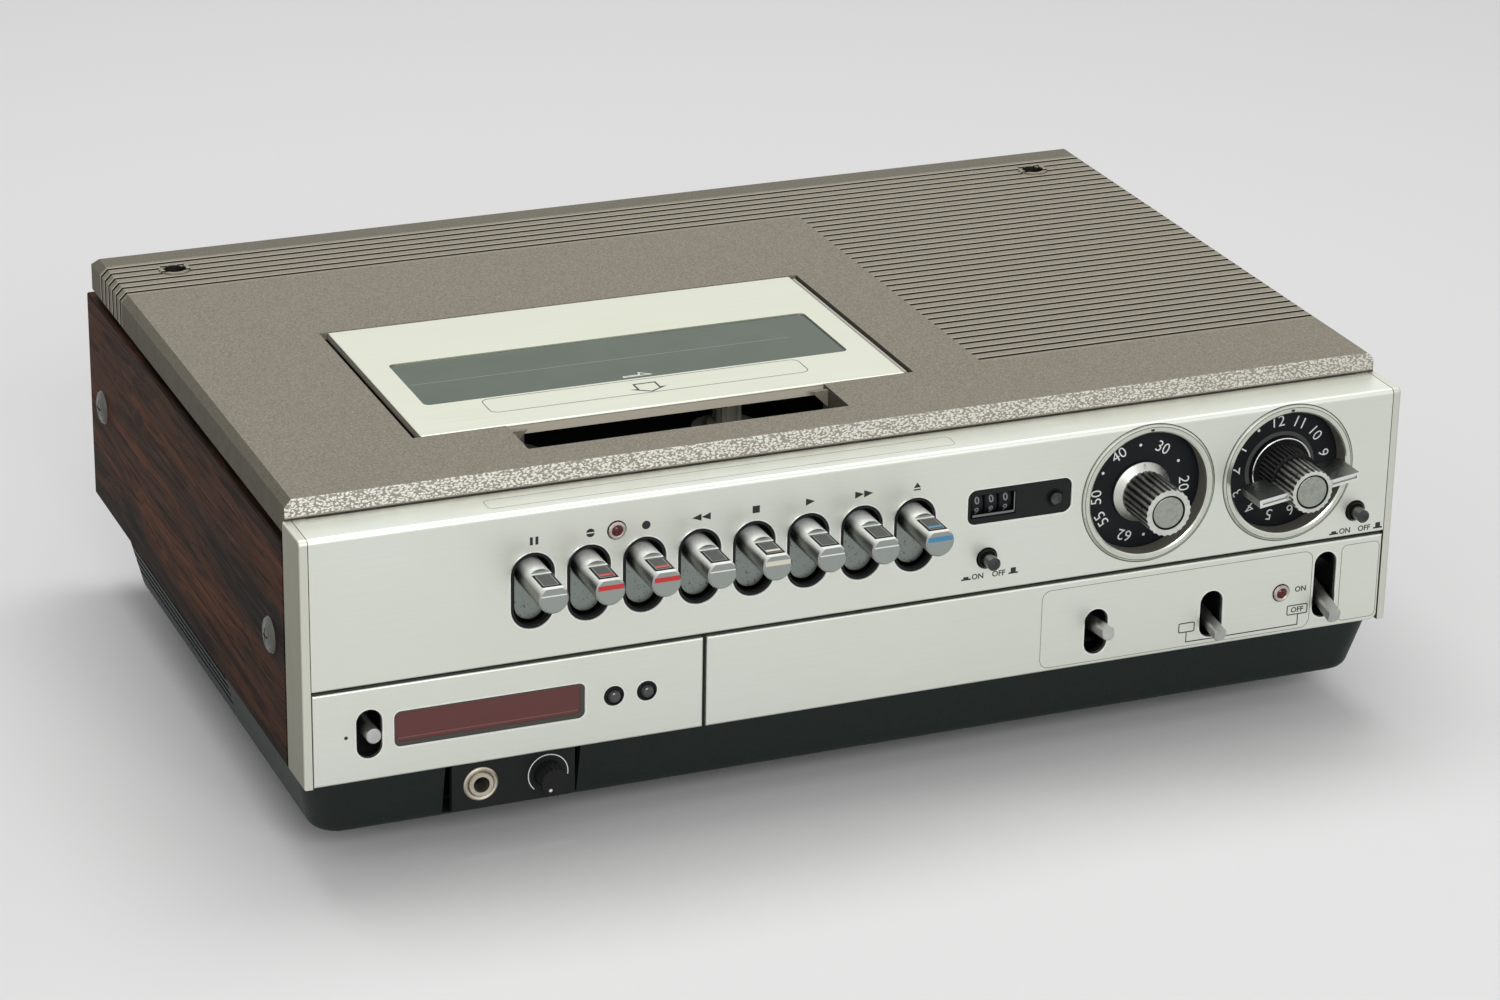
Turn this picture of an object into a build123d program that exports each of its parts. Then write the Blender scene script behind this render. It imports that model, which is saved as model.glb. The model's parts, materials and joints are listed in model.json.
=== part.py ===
"""Top-loading video cassette recorder.

Frame: +X right, +Y back, +Z up, millimetres. The origin is on the floor, in the
middle of the footprint. Heights are measured from the bottom edge of the silver
front panels and depths from their front face, through the planes below.
"""
from build123d import *
import math
import os

os.makedirs("parts", exist_ok=True)

# ------------------------------------------------------------ cabinet, driving sizes
CABINET_WIDTH = 453.0
FOOT_HEIGHT = 15.0
BASE_HEIGHT = 24.7
FASCIA_HEIGHT = 99.3
COVER_RISE = 8.0
WOOD_DEPTH = 305.0
KEY_REACH = 23.3          # how far the keys stand out of the front
TERMINAL_REACH = 314.0    # depth of the rear-most connector

SHEET = 1.6               # steel sheet
FIT = 0.3                 # gap between parts that are laid side by side
RUN = 0.05                # radial clearance of a running shaft

PANEL_Z = FOOT_HEIGHT + BASE_HEIGHT
FRONT_Y = (KEY_REACH - TERMINAL_REACH) / 2
HALF_WIDTH = CABINET_WIDTH / 2


def front(depth=0.0):
    """Plane facing forward at a depth behind the panels; sketch axes are x and height."""
    return Plane(origin=(0, FRONT_Y + depth, PANEL_Z), x_dir=(1, 0, 0), z_dir=(0, -1, 0))


def level(height=0.0):
    """Plane facing up at a height; sketch axes are x and depth."""
    return Plane(origin=(0, FRONT_Y, PANEL_Z + height), x_dir=(1, 0, 0), z_dir=(0, 0, 1))


def side(x=0.0):
    """Plane facing right at an x; sketch axes are depth and height."""
    return Plane(origin=(x, FRONT_Y, PANEL_Z), x_dir=(0, 1, 0), z_dir=(1, 0, 0))


def lathe(x, height):
    """Plane holding a front-to-back spindle; sketch axes are radius and depth."""
    return Plane(origin=(x, FRONT_Y, PANEL_Z + height), x_dir=(1, 0, 0), z_dir=(0, 0, 1))


def spindle(x, height):
    return Axis((x, FRONT_Y, PANEL_Z + height), (0, 1, 0))


def upright(x, depth):
    """Plane holding a vertical spindle; sketch axes are radius and height."""
    return Plane(origin=(x, FRONT_Y + depth, PANEL_Z), x_dir=(1, 0, 0), z_dir=(0, -1, 0))


def mast(x, depth):
    return Axis((x, FRONT_Y + depth, PANEL_Z), (0, 0, 1))


def save(piece, node):
    piece.label = node
    export_step(piece, f"parts/{node}.step")


# ------------------------------------------------------------ outer casing sizes
CHEEK_THICKNESS = 3.5
CHEEK_DEPTH = 20.6
CHEEK_ROUND = 2.0
CHEEK_EDGE_ROUND = 1.2
WOOD_THICKNESS = 6.0
WOOD_TOP = 90.4
WOOD_ROUND = 1.0
SIDE_SCREW_DEPTHS = (39.6, 284.7)
SIDE_SCREW_HEIGHT = 46.3
SIDE_SCREW_RADIUS = 7.2
SIDE_SCREW_SHANK = 2.0

PANEL_HALF = HALF_WIDTH - CHEEK_THICKNESS - FIT
PANEL_SHEET = 2.0
LEDGE_DEPTH = 20.0
LEDGE_RETURN = 9.0        # length of the deeper ledge at each end
COVER_GAP = 0.9
GROOVE_HEIGHT = 37.5      # shadow groove between upper and lower panels
GROOVE_WIDTH = 1.4
PANEL_SPLIT_X = 158.0 - HALF_WIDTH
PANEL_EDGE_ROUND = 0.8
OPENING_CHAMFER = 0.3      # bright edge around every opening of the panels

FRAME_SHEET = 3.0
FRAME_HALF = PANEL_HALF - FIT
WALL_OUT = HALF_WIDTH - WOOD_THICKNESS
REAR_DEPTH = 298.0

COVER_FRONT = LEDGE_DEPTH + COVER_GAP
COVER_BACK = 300.0
COVER_INSET = 1.3         # the cover stands in from the sides
COVER_HALF = HALF_WIDTH - COVER_INSET
COVER_WALL = 3.0
COVER_CHAMFER = 2.8
COVER_TOP = FASCIA_HEIGHT + COVER_RISE
COVER_SKIRT = 93.6        # lower edge of the cover
COVER_SCREWS = ((30.0 - HALF_WIDTH, 274.0), (HALF_WIDTH - 31.0, 274.0))
COVER_SCREW_HOLE = 4.75

RIB_PITCH = 6.006
RIB_COUNT = 37
RIB_FULL = 6              # grooves that cross the whole cover
RIB_LAST_DEPTH = 283.3
RIB_GROOVE_WIDTH = 1.5
RIB_GROOVE_DEPTH = 1.2
RIB_FIELD_X = HALF_WIDTH - 153.5

# ------------------------------------------------------------ cassette compartment
BAY_X = -59.7             # middle of the compartment
BAY_HALF = 102.9
BAY_FRONT = 63.0
BAY_BACK = 182.2
LID_HALF = 99.4
LID_FRONT = 63.4
LID_BACK = 181.5
LID_SHEET = 3.0
LID_LIP = 4.4
WINDOW_HALF = 88.1
WINDOW_FRONT = 93.0
WINDOW_BACK = 139.5
WINDOW_ROUND = 2.5
NOTCH_LEFT = BAY_X - 65.7
NOTCH_RIGHT = BAY_X + 64.7
NOTCH_FRONT = 38.0
NOTCH_SKIRT = 8.0

CASSETTE_WIDTH = 188.0
CASSETTE_DEPTH = 104.0
CASSETTE_HEIGHT = 25.0
CARRIER_SHEET = 1.2
CARRIER_BACK = 177.0
CARRIER_INNER = CASSETTE_WIDTH / 2 + 1.0
CARRIER_OUTER = CARRIER_INNER + CARRIER_SHEET
CARRIER_FLOOR = COVER_TOP - LID_SHEET - CASSETTE_HEIGHT - 3.3
CARRIER_FLANGE = 22.0
CARRIER_TOP = COVER_TOP - LID_SHEET

DECK_TOP = 66.0
DECK_SHEET = 4.0
DECK_FRONT = 75.5
DECK_BACK = 290.0
DECK_HALF = 110.0
POST_RADIUS = 6.0

# crossed lift arms
ARM_SPAN = 104.0          # between the end pins of one arm
ARM_RISE = 16.0           # height between the end pins when the lid is down
ARM_WIDTH = 8.0
ARM_SHEET = 1.2
ARM_SPACE = 0.6
ARM_PIN = 2.0
ARM_FOOT_DEPTH = 70.0
ARM_FOOT_HEIGHT = DECK_TOP + 7.0
LID_LIFT = 42.0
ARM_REST = math.degrees(math.asin(ARM_RISE / ARM_SPAN))
ARM_UP = math.degrees(math.asin((ARM_RISE + LID_LIFT) / ARM_SPAN))
ARM_HEAD_HEIGHT = ARM_FOOT_HEIGHT + ARM_RISE
ARM_REACH = ARM_SPAN * math.cos(math.radians(ARM_REST))
ARM_REACH_UP = ARM_SPAN * math.cos(math.radians(ARM_UP))
INNER_ARM = CARRIER_OUTER + ARM_SPACE
OUTER_ARM = INNER_ARM + ARM_SHEET + ARM_SPACE
BRACKET_FACE = OUTER_ARM + ARM_SHEET + ARM_SPACE
BRACKET_SHEET = 1.5

# ------------------------------------------------------------ transport keys
KEY_NAMES = ("pause", "audio_dub", "rec", "rew", "stop", "play", "fast_forward", "eject")
KEY_FIRST_X = -137.2
KEY_PITCH = 22.0
SLOT_WIDTH = 17.0
SLOT_HEIGHT = 30.4
SLOT_MIDDLE = 66.9
KEY_RADIUS = 5.8
KEY_HEIGHT = 73.1
KEY_FLAT = 4.3            # height of the flat above the key's centre line
KEY_FLAT_LENGTH = 15.5
KEY_PAD = (7.8, 11.8)
KEY_PAD_INSET = 2.2
KEY_PAD_DEPTH = 0.6
KEY_BLOCK_DEPTH = 4.2
KEY_BLOCK_THICKNESS = 8.0
KEY_BLOCK_BOTTOM = 54.0
KEY_ENDS = (KEY_FIRST_X, KEY_FIRST_X + KEY_PITCH * (len(KEY_NAMES) - 1))
KEY_PIVOT_DEPTH = 66.0
KEY_PIVOT_HEIGHT = 62.0
KEY_HUB_RADIUS = 5.5
KEY_HUB_WIDTH = 9.0
KEY_ARM_WIDTH = 4.0
KEY_SHAFT_RADIUS = 2.5

# ------------------------------------------------------------ tuners
VHF_AXIS = (HALF_WIDTH - 49.0, 69.7)
UHF_AXIS = (VHF_AXIS[0] - 61.3, 68.6)
BEZEL_HEIGHT = 70.2
BEZEL_RADIUS = 28.4
BEZEL_RIM = 0.9
BEZEL_BORE = 25.3
BEZEL_TUBE = 26.6
BEZEL_DEPTH = 6.4
DIAL_RADIUS = 25.8
DIAL_DEPTH = 7.0
DIAL_SHEET = 1.5
TUNER_SHAFT = 3.0
TUNER_FACE = 16.0
TUNER_BLOCK = (44.0, 60.0, 40.0)
UHF_TIP = 17.3
VHF_TIP = 20.0
FLUTES = 24

# ------------------------------------------------------------ counter and small controls
COUNTER_X = UHF_AXIS[0] - 55.3
COUNTER_HEIGHT = 74.4
COUNTER_SIZE = (43.8, 14.2)
COUNTER_ROUND = 3.4
COUNTER_DEPTH = 19.0
COUNTER_FACE = 0.5
COUNTER_WINDOW = (19.1, 9.5)
COUNTER_WALL = 1.2
COUNTER_HOUSING = (49.4, 18.6)
WHEEL_RADIUS = 7.2
WHEEL_WIDTH = 5.3
WHEEL_PITCH = 6.0
WHEEL_FIRST_X = COUNTER_X - 17.1
WHEEL_NAMES = ("hundreds", "tens", "units")
WHEEL_DEPTH = 9.6
WHEEL_PIN = 1.5
RESET_X = COUNTER_X + 14.9
RESET_HEIGHT = COUNTER_HEIGHT - 0.4
RESET_RADIUS = 2.4

# name: x, height, reach in front of the panels
BUTTONS = {
    "search_button": (COUNTER_X - 13.2, 52.8, 7.3),
    "aft_button": (HALF_WIDTH - 17.3, 49.5, 7.3),
    "hour_button": (PANEL_SPLIT_X - 36.6, 19.1, 1.2),
    "minute_button": (PANEL_SPLIT_X - 23.4, 19.1, 1.2),
}
BUTTON_RADIUS = 2.65
BUTTON_COLLAR = 3.9
BUTTON_SLEEVE = 14.0
BUTTON_HEAD = 4.4
LAMPS = ((KEY_FIRST_X + 1.5 * KEY_PITCH - 0.1, 86.5), (HALF_WIDTH - 48.4, 18.4))
LAMP_RADIUS = 2.1
LAMP_RING = 3.3

# name: x, slot middle height, slot height, tilt at rest (up is positive), length, rod diameter
LEVERS = {
    "timer_select_lever": (25.5 - HALF_WIDTH, 19.0, 19.7, 3.0, 30.6, 5.8),
    "rec_select_lever": (HALF_WIDTH - 130.2, 14.2, 19.1, 6.0, 35.9, 5.8),
    "video_tv_lever": (HALF_WIDTH - 79.4, 14.0, 19.7, -9.5, 34.0, 5.8),
    "power_lever": (HALF_WIDTH - 28.9, 19.1, 28.3, -16.0, 36.0, 6.4),
}
LEVER_SLOT_WIDTH = 9.8
LEVER_PIVOT_DEPTH = 25.0
LEVER_WIDTH = 5.0
LEVER_TOP_CUT = 1.0
LEVER_HUB = 4.5
LEVER_HUB_HALF = 5.9
LEVER_PIN = 1.5
LEVER_EAR = 2.0
LEVER_EAR_HALF = 5.0
LEVER_EAR_DEPTH = 30.0

CLOCK_X = 72.5 - HALF_WIDTH
CLOCK_HEIGHT = 19.1
CLOCK_SIZE = (74.6, 14.3)
CLOCK_ROUND = 2.5

# ------------------------------------------------------------ base
BASE_FRONT = 3.0
BASE_BACK = 268.0
BASE_INSET = 1.5
BASE_HALF = HALF_WIDTH - BASE_INSET
BASE_CORNER = 12.0
BASE_DRAFT = 13.0
BASE_EDGE = 5.0
BASE_WALL = 3.0
VENT_COUNT = 4
VENT_PITCH = 3.6
VENT_WIDTH = 1.4
VENT_TOP = -4.0
VENT_FRONT = 112.0
VENT_BACK = 256.0

JACK_PLATE_X = 82.5 - HALF_WIDTH
JACK_PLATE_WIDTH = 48.8
JACK_PLATE_DROP = 20.0
JACK_PLATE_GAP = 2.4
MIC_X = JACK_PLATE_X - 13.2
MIC_HEIGHT = -9.8
MIC_RING = 6.8
MIC_BORE = 3.2
TRACK_X = JACK_PLATE_X + 13.7
TRACK_HEIGHT = -10.4
TRACK_RADIUS = 5.7
TRACK_REACH = 8.0
FOOT_RADIUS = 14.0
FOOT_X = HALF_WIDTH - 46.5
FOOT_DEPTHS = (62.0, 225.0)



# ============================================================ base pan and feet
BASE_MIDDLE = (BASE_FRONT + BASE_BACK) / 2
BASE_SLOPE = 2 * BASE_HEIGHT * math.tan(math.radians(BASE_DRAFT))
CAVITY_HEIGHT = BASE_HEIGHT - BASE_WALL
CAVITY_SLOPE = 2 * CAVITY_HEIGHT * math.tan(math.radians(BASE_DRAFT))

with BuildPart() as base_pan:
    with BuildSketch(level(0)):
        with Locations((0, BASE_MIDDLE)):
            RectangleRounded(2 * BASE_HALF, BASE_BACK - BASE_FRONT, BASE_CORNER)
    with BuildSketch(level(-BASE_HEIGHT)):
        with Locations((0, BASE_MIDDLE)):
            RectangleRounded(2 * BASE_HALF - BASE_SLOPE, BASE_BACK - BASE_FRONT - BASE_SLOPE,
                             BASE_CORNER)
    loft(ruled=True)
    fillet(base_pan.faces().sort_by(Axis.Z)[0].edges(), BASE_EDGE)
    # the hollow above the floor
    with BuildSketch(level(0)):
        with Locations((0, BASE_MIDDLE)):
            RectangleRounded(2 * (BASE_HALF - BASE_WALL), BASE_BACK - BASE_FRONT - 2 * BASE_WALL,
                             BASE_CORNER - BASE_WALL)
    with BuildSketch(level(-CAVITY_HEIGHT)):
        with Locations((0, BASE_MIDDLE)):
            RectangleRounded(2 * (BASE_HALF - BASE_WALL) - CAVITY_SLOPE,
                             BASE_BACK - BASE_FRONT - 2 * BASE_WALL - CAVITY_SLOPE,
                             BASE_CORNER - BASE_WALL)
    loft(ruled=True, mode=Mode.SUBTRACT)
    # the mouth for the jack plate, cut through the front wall
    with BuildSketch(front(BASE_FRONT + BASE_EDGE + BASE_CORNER)):
        with Locations((JACK_PLATE_X, -(JACK_PLATE_DROP + JACK_PLATE_GAP) / 2)):
            Rectangle(JACK_PLATE_WIDTH + 2 * JACK_PLATE_GAP, JACK_PLATE_DROP + JACK_PLATE_GAP)
    extrude(amount=BASE_EDGE + BASE_CORNER + BASE_WALL, mode=Mode.SUBTRACT)
    # ventilation slots along both sides
    with BuildSketch(side(-BASE_HALF)):
        for row in range(VENT_COUNT):
            with Locations(((VENT_FRONT + VENT_BACK) / 2, VENT_TOP - row * VENT_PITCH)):
                SlotOverall(VENT_BACK - VENT_FRONT, VENT_WIDTH)
    extrude(amount=2 * BASE_HALF, mode=Mode.SUBTRACT)
save(base_pan.part, "base_pan")

FOOT_DRAFT = 6
with BuildPart() as feet:
    with BuildSketch(level(-BASE_HEIGHT)):
        for depth in FOOT_DEPTHS:
            with Locations((-FOOT_X, depth), (FOOT_X, depth)):
                Circle(FOOT_RADIUS)
    extrude(amount=-FOOT_HEIGHT, taper=FOOT_DRAFT)
save(feet.part, "feet")

# ============================================================ inner steel frame
RAIL_REACH = COVER_HALF - 1.0
FRAME_START = CHEEK_DEPTH + FIT
SIDE_SCREW_BORE = SIDE_SCREW_SHANK + RUN

with BuildPart() as inner_frame:
    with BuildSketch(front(REAR_DEPTH)):
        with BuildLine():
            Polyline(
                (-WALL_OUT, 0), (WALL_OUT, 0), (WALL_OUT, COVER_SKIRT - SHEET),
                (RAIL_REACH, COVER_SKIRT - SHEET), (RAIL_REACH, COVER_SKIRT),
                (WALL_OUT - SHEET, COVER_SKIRT), (WALL_OUT - SHEET, SHEET),
                (SHEET - WALL_OUT, SHEET), (SHEET - WALL_OUT, COVER_SKIRT),
                (-RAIL_REACH, COVER_SKIRT), (-RAIL_REACH, COVER_SKIRT - SHEET),
                (-WALL_OUT, COVER_SKIRT - SHEET), close=True)
        make_face()
    extrude(amount=REAR_DEPTH - FRAME_START)
    with BuildSketch(side(-HALF_WIDTH)):
        for depth in SIDE_SCREW_DEPTHS:
            with Locations((depth, SIDE_SCREW_HEIGHT)):
                Circle(SIDE_SCREW_BORE)
    extrude(amount=CABINET_WIDTH, mode=Mode.SUBTRACT)
save(inner_frame.part, "inner_frame")

# ============================================================ wood sides and their screws
with BuildPart() as wood_sides:
    for hand in (-1, 1):
        with BuildSketch(side(hand * WALL_OUT)):
            with Locations(((CHEEK_DEPTH + FIT + WOOD_DEPTH) / 2, WOOD_TOP / 2)):
                Rectangle(WOOD_DEPTH - CHEEK_DEPTH - FIT, WOOD_TOP)
            for depth in SIDE_SCREW_DEPTHS:
                with Locations((depth, SIDE_SCREW_HEIGHT)):
                    Circle(SIDE_SCREW_BORE, mode=Mode.SUBTRACT)
        extrude(amount=hand * WOOD_THICKNESS)
    for end in (0, -1):
        outside = wood_sides.faces().filter_by(Axis.X).sort_by(Axis.X)[end]
        fillet(outside.outer_wire().edges(), WOOD_ROUND)
save(wood_sides.part, "wood_sides")

WASHER_RISE = 1.5
WASHER_EDGE = 0.9
WASHER_BEVEL = 0.6
WASHER_DISH = 0.15
SCREW_HEAD = 4.6
SCREW_RISE = 2.1
SCREW_LENGTH = 12.0
SCREW_SLOT = 0.9


def screw_plane(hand, depth):
    """Sketch axes are radius, upwards from the screw's axis, and distance outwards."""
    return Plane(origin=(hand * HALF_WIDTH, FRONT_Y + depth, PANEL_Z + SIDE_SCREW_HEIGHT),
                 x_dir=(0, 0, 1), z_dir=(0, hand, 0))


with BuildPart() as side_screws:
    for hand in (-1, 1):
        for depth in SIDE_SCREW_DEPTHS:
            axis = Axis((0, FRONT_Y + depth, PANEL_Z + SIDE_SCREW_HEIGHT), (1, 0, 0))
            with BuildSketch(screw_plane(hand, depth)):
                with BuildLine():
                    Polyline(
                        (0, -SCREW_LENGTH), (SIDE_SCREW_SHANK, -SCREW_LENGTH),
                        (SIDE_SCREW_SHANK, 0), (SIDE_SCREW_RADIUS, 0),
                        (SIDE_SCREW_RADIUS - WASHER_BEVEL, WASHER_EDGE),
                        (SCREW_HEAD + WASHER_EDGE, WASHER_RISE),
                        (SCREW_HEAD, WASHER_RISE - WASHER_DISH),
                        (SCREW_HEAD * 0.75, SCREW_RISE * 0.85), (SCREW_HEAD * 0.4, SCREW_RISE),
                        (0, SCREW_RISE), close=True)
                make_face()
            revolve(axis=axis)
    for hand in (-1, 1):
        for depth in SIDE_SCREW_DEPTHS:
            with BuildSketch(side(hand * (HALF_WIDTH + WASHER_EDGE))):
                with Locations((depth, SIDE_SCREW_HEIGHT)):
                    Rectangle(SCREW_HEAD * 1.3, SCREW_SLOT)
                    Rectangle(SCREW_SLOT, SCREW_HEAD * 1.3)
            extrude(amount=hand * SCREW_RISE, mode=Mode.SUBTRACT)
save(side_screws.part, "side_screws")

# ============================================================ front panels
LEDGE_TOUCH = CHEEK_DEPTH
LEDGE_END = HALF_WIDTH - LEDGE_RETURN
SWITCH_CORNER = 3.0
COLLAR_BORE = BUTTON_COLLAR + FIT
PANEL_BOTTOM = FIT
UPPER_BOTTOM = GROOVE_HEIGHT + GROOVE_WIDTH
KEY_XS = [KEY_FIRST_X + KEY_PITCH * index for index in range(len(KEY_NAMES))]



def bright_edges(panel):
    """Chamfers the front edge of every opening of a panel that is still being built."""
    face = panel.faces().filter_by(Axis.Y).sort_by(Axis.Y)[0]
    chamfer([edge for wire in face.inner_wires() for edge in wire.edges()], OPENING_CHAMFER)


with BuildPart() as front_panel:
    with BuildSketch(side(-PANEL_HALF)):
        with BuildLine():
            Polyline(
                (0, UPPER_BOTTOM), (PANEL_SHEET, UPPER_BOTTOM),
                (PANEL_SHEET, FASCIA_HEIGHT - PANEL_SHEET), (LEDGE_DEPTH, FASCIA_HEIGHT - PANEL_SHEET),
                (LEDGE_DEPTH, FASCIA_HEIGHT), (0, FASCIA_HEIGHT), close=True)
        make_face()
    extrude(amount=2 * PANEL_HALF)
    # the ledge is longer at both ends, beside the cover
    with BuildSketch(level(FASCIA_HEIGHT - PANEL_SHEET)):
        for hand in (-1, 1):
            with Locations((hand * (PANEL_HALF + LEDGE_END) / 2, (LEDGE_DEPTH + LEDGE_TOUCH) / 2)):
                Rectangle(PANEL_HALF - LEDGE_END, LEDGE_TOUCH - LEDGE_DEPTH)
    extrude(amount=PANEL_SHEET)
    front_edges = front_panel.edges().filter_by(Axis.X).group_by(Axis.Y)[0]
    fillet(front_edges.sort_by(Axis.Z)[-1], CHEEK_ROUND)
    fillet(front_panel.edges().filter_by(Axis.X).group_by(Axis.Y)[0].sort_by(Axis.Z)[0],
           PANEL_EDGE_ROUND)
    with BuildSketch(front(PANEL_SHEET)):
        for x in KEY_XS:
            with Locations((x, SLOT_MIDDLE)):
                SlotOverall(SLOT_HEIGHT, SLOT_WIDTH, rotation=90)
        for axis_x, _ in (UHF_AXIS, VHF_AXIS):
            with Locations((axis_x, BEZEL_HEIGHT)):
                Circle(BEZEL_TUBE + FIT)
        with Locations((COUNTER_X, COUNTER_HEIGHT)):
            RectangleRounded(*COUNTER_SIZE, COUNTER_ROUND)
        with Locations(BUTTONS["search_button"][:2], BUTTONS["aft_button"][:2]):
            Circle(COLLAR_BORE)
        with Locations(LAMPS[0]):
            Circle(LAMP_RING + FIT)
    extrude(amount=PANEL_SHEET, mode=Mode.SUBTRACT)
    bright_edges(front_panel)
save(front_panel.part, "front_panel")


def lever_slot(name, growth=0.0):
    """The upright slot with round ends that a lever moves in."""
    x, middle, height = LEVERS[name][:3]
    with Locations((x, middle)):
        SlotOverall(height + growth, LEVER_SLOT_WIDTH + growth, rotation=90)


def lower_panel(left, right):
    """Outline of one of the two lower panels."""
    with Locations(((left + right) / 2, (PANEL_BOTTOM + GROOVE_HEIGHT) / 2)):
        Rectangle(right - left, GROOVE_HEIGHT - PANEL_BOTTOM)


with BuildPart() as timer_panel:
    with BuildSketch(front(PANEL_SHEET)):
        lower_panel(-PANEL_HALF, PANEL_SPLIT_X - GROOVE_WIDTH / 2)
    extrude(amount=PANEL_SHEET)
    fillet(timer_panel.faces().sort_by(Axis.Y)[0].edges(), PANEL_EDGE_ROUND)
    with BuildSketch(front(PANEL_SHEET)):
        lever_slot("timer_select_lever")
        with Locations((CLOCK_X, CLOCK_HEIGHT)):
            RectangleRounded(*CLOCK_SIZE, CLOCK_ROUND)
        with Locations(BUTTONS["hour_button"][:2], BUTTONS["minute_button"][:2]):
            Circle(COLLAR_BORE)
    extrude(amount=PANEL_SHEET, mode=Mode.SUBTRACT)
    bright_edges(timer_panel)
save(timer_panel.part, "timer_panel")

with BuildPart() as switch_panel:
    with BuildSketch(front(PANEL_SHEET)) as outline:
        lower_panel(PANEL_SPLIT_X + GROOVE_WIDTH / 2, PANEL_HALF)
        fillet(outline.vertices().group_by(Axis.X)[-1].sort_by(Axis.Z)[-1], SWITCH_CORNER)
    extrude(amount=PANEL_SHEET)
    fillet(switch_panel.faces().sort_by(Axis.Y)[0].edges(), PANEL_EDGE_ROUND)
    with BuildSketch(front(PANEL_SHEET)):
        for name in ("rec_select_lever", "video_tv_lever", "power_lever"):
            lever_slot(name)
        with Locations(LAMPS[1]):
            Circle(LAMP_RING + FIT)
    extrude(amount=PANEL_SHEET, mode=Mode.SUBTRACT)
    bright_edges(switch_panel)
save(switch_panel.part, "switch_panel")

with BuildPart() as end_cheeks:
    for hand in (-1, 1):
        with BuildSketch(side(hand * (HALF_WIDTH - CHEEK_THICKNESS))):
            with Locations((CHEEK_DEPTH / 2, FASCIA_HEIGHT / 2)):
                Rectangle(CHEEK_DEPTH, FASCIA_HEIGHT)
        extrude(amount=hand * CHEEK_THICKNESS)
    tops = end_cheeks.edges().filter_by(Axis.X).group_by(Axis.Y)[0].group_by(Axis.Z)[-1]
    fillet(tops, CHEEK_ROUND)
    for end in (0, -1):
        outside = end_cheeks.faces().filter_by(Axis.X).sort_by(Axis.X)[end]
        fillet(outside.edges(), CHEEK_EDGE_ROUND)
save(end_cheeks.part, "end_cheeks")

# ============================================================ front frame behind the panels
FRAME_TOP = FASCIA_HEIGHT - PANEL_SHEET
FRAME_BACK = PANEL_SHEET + FRAME_SHEET
KEY_WINDOW = (KEY_ENDS[0] - 13.0, KEY_ENDS[1] + 13.1, 39.5, 82.9)
FLANGE_BACK = 18.0
WING_BACK = 34.0
LUG_TOP = 92.0
LUG_BOTTOM = 6.0
JACK_PLATE_SHEET = 3.0
TRACK_BOSS = 5.0
TRACK_BOSS_DEPTH = 13.0
TRACK_SHAFT = 1.5
MIC_BODY = 5.0
SLEEVE_WALL_FRONT = -0.4

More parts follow.
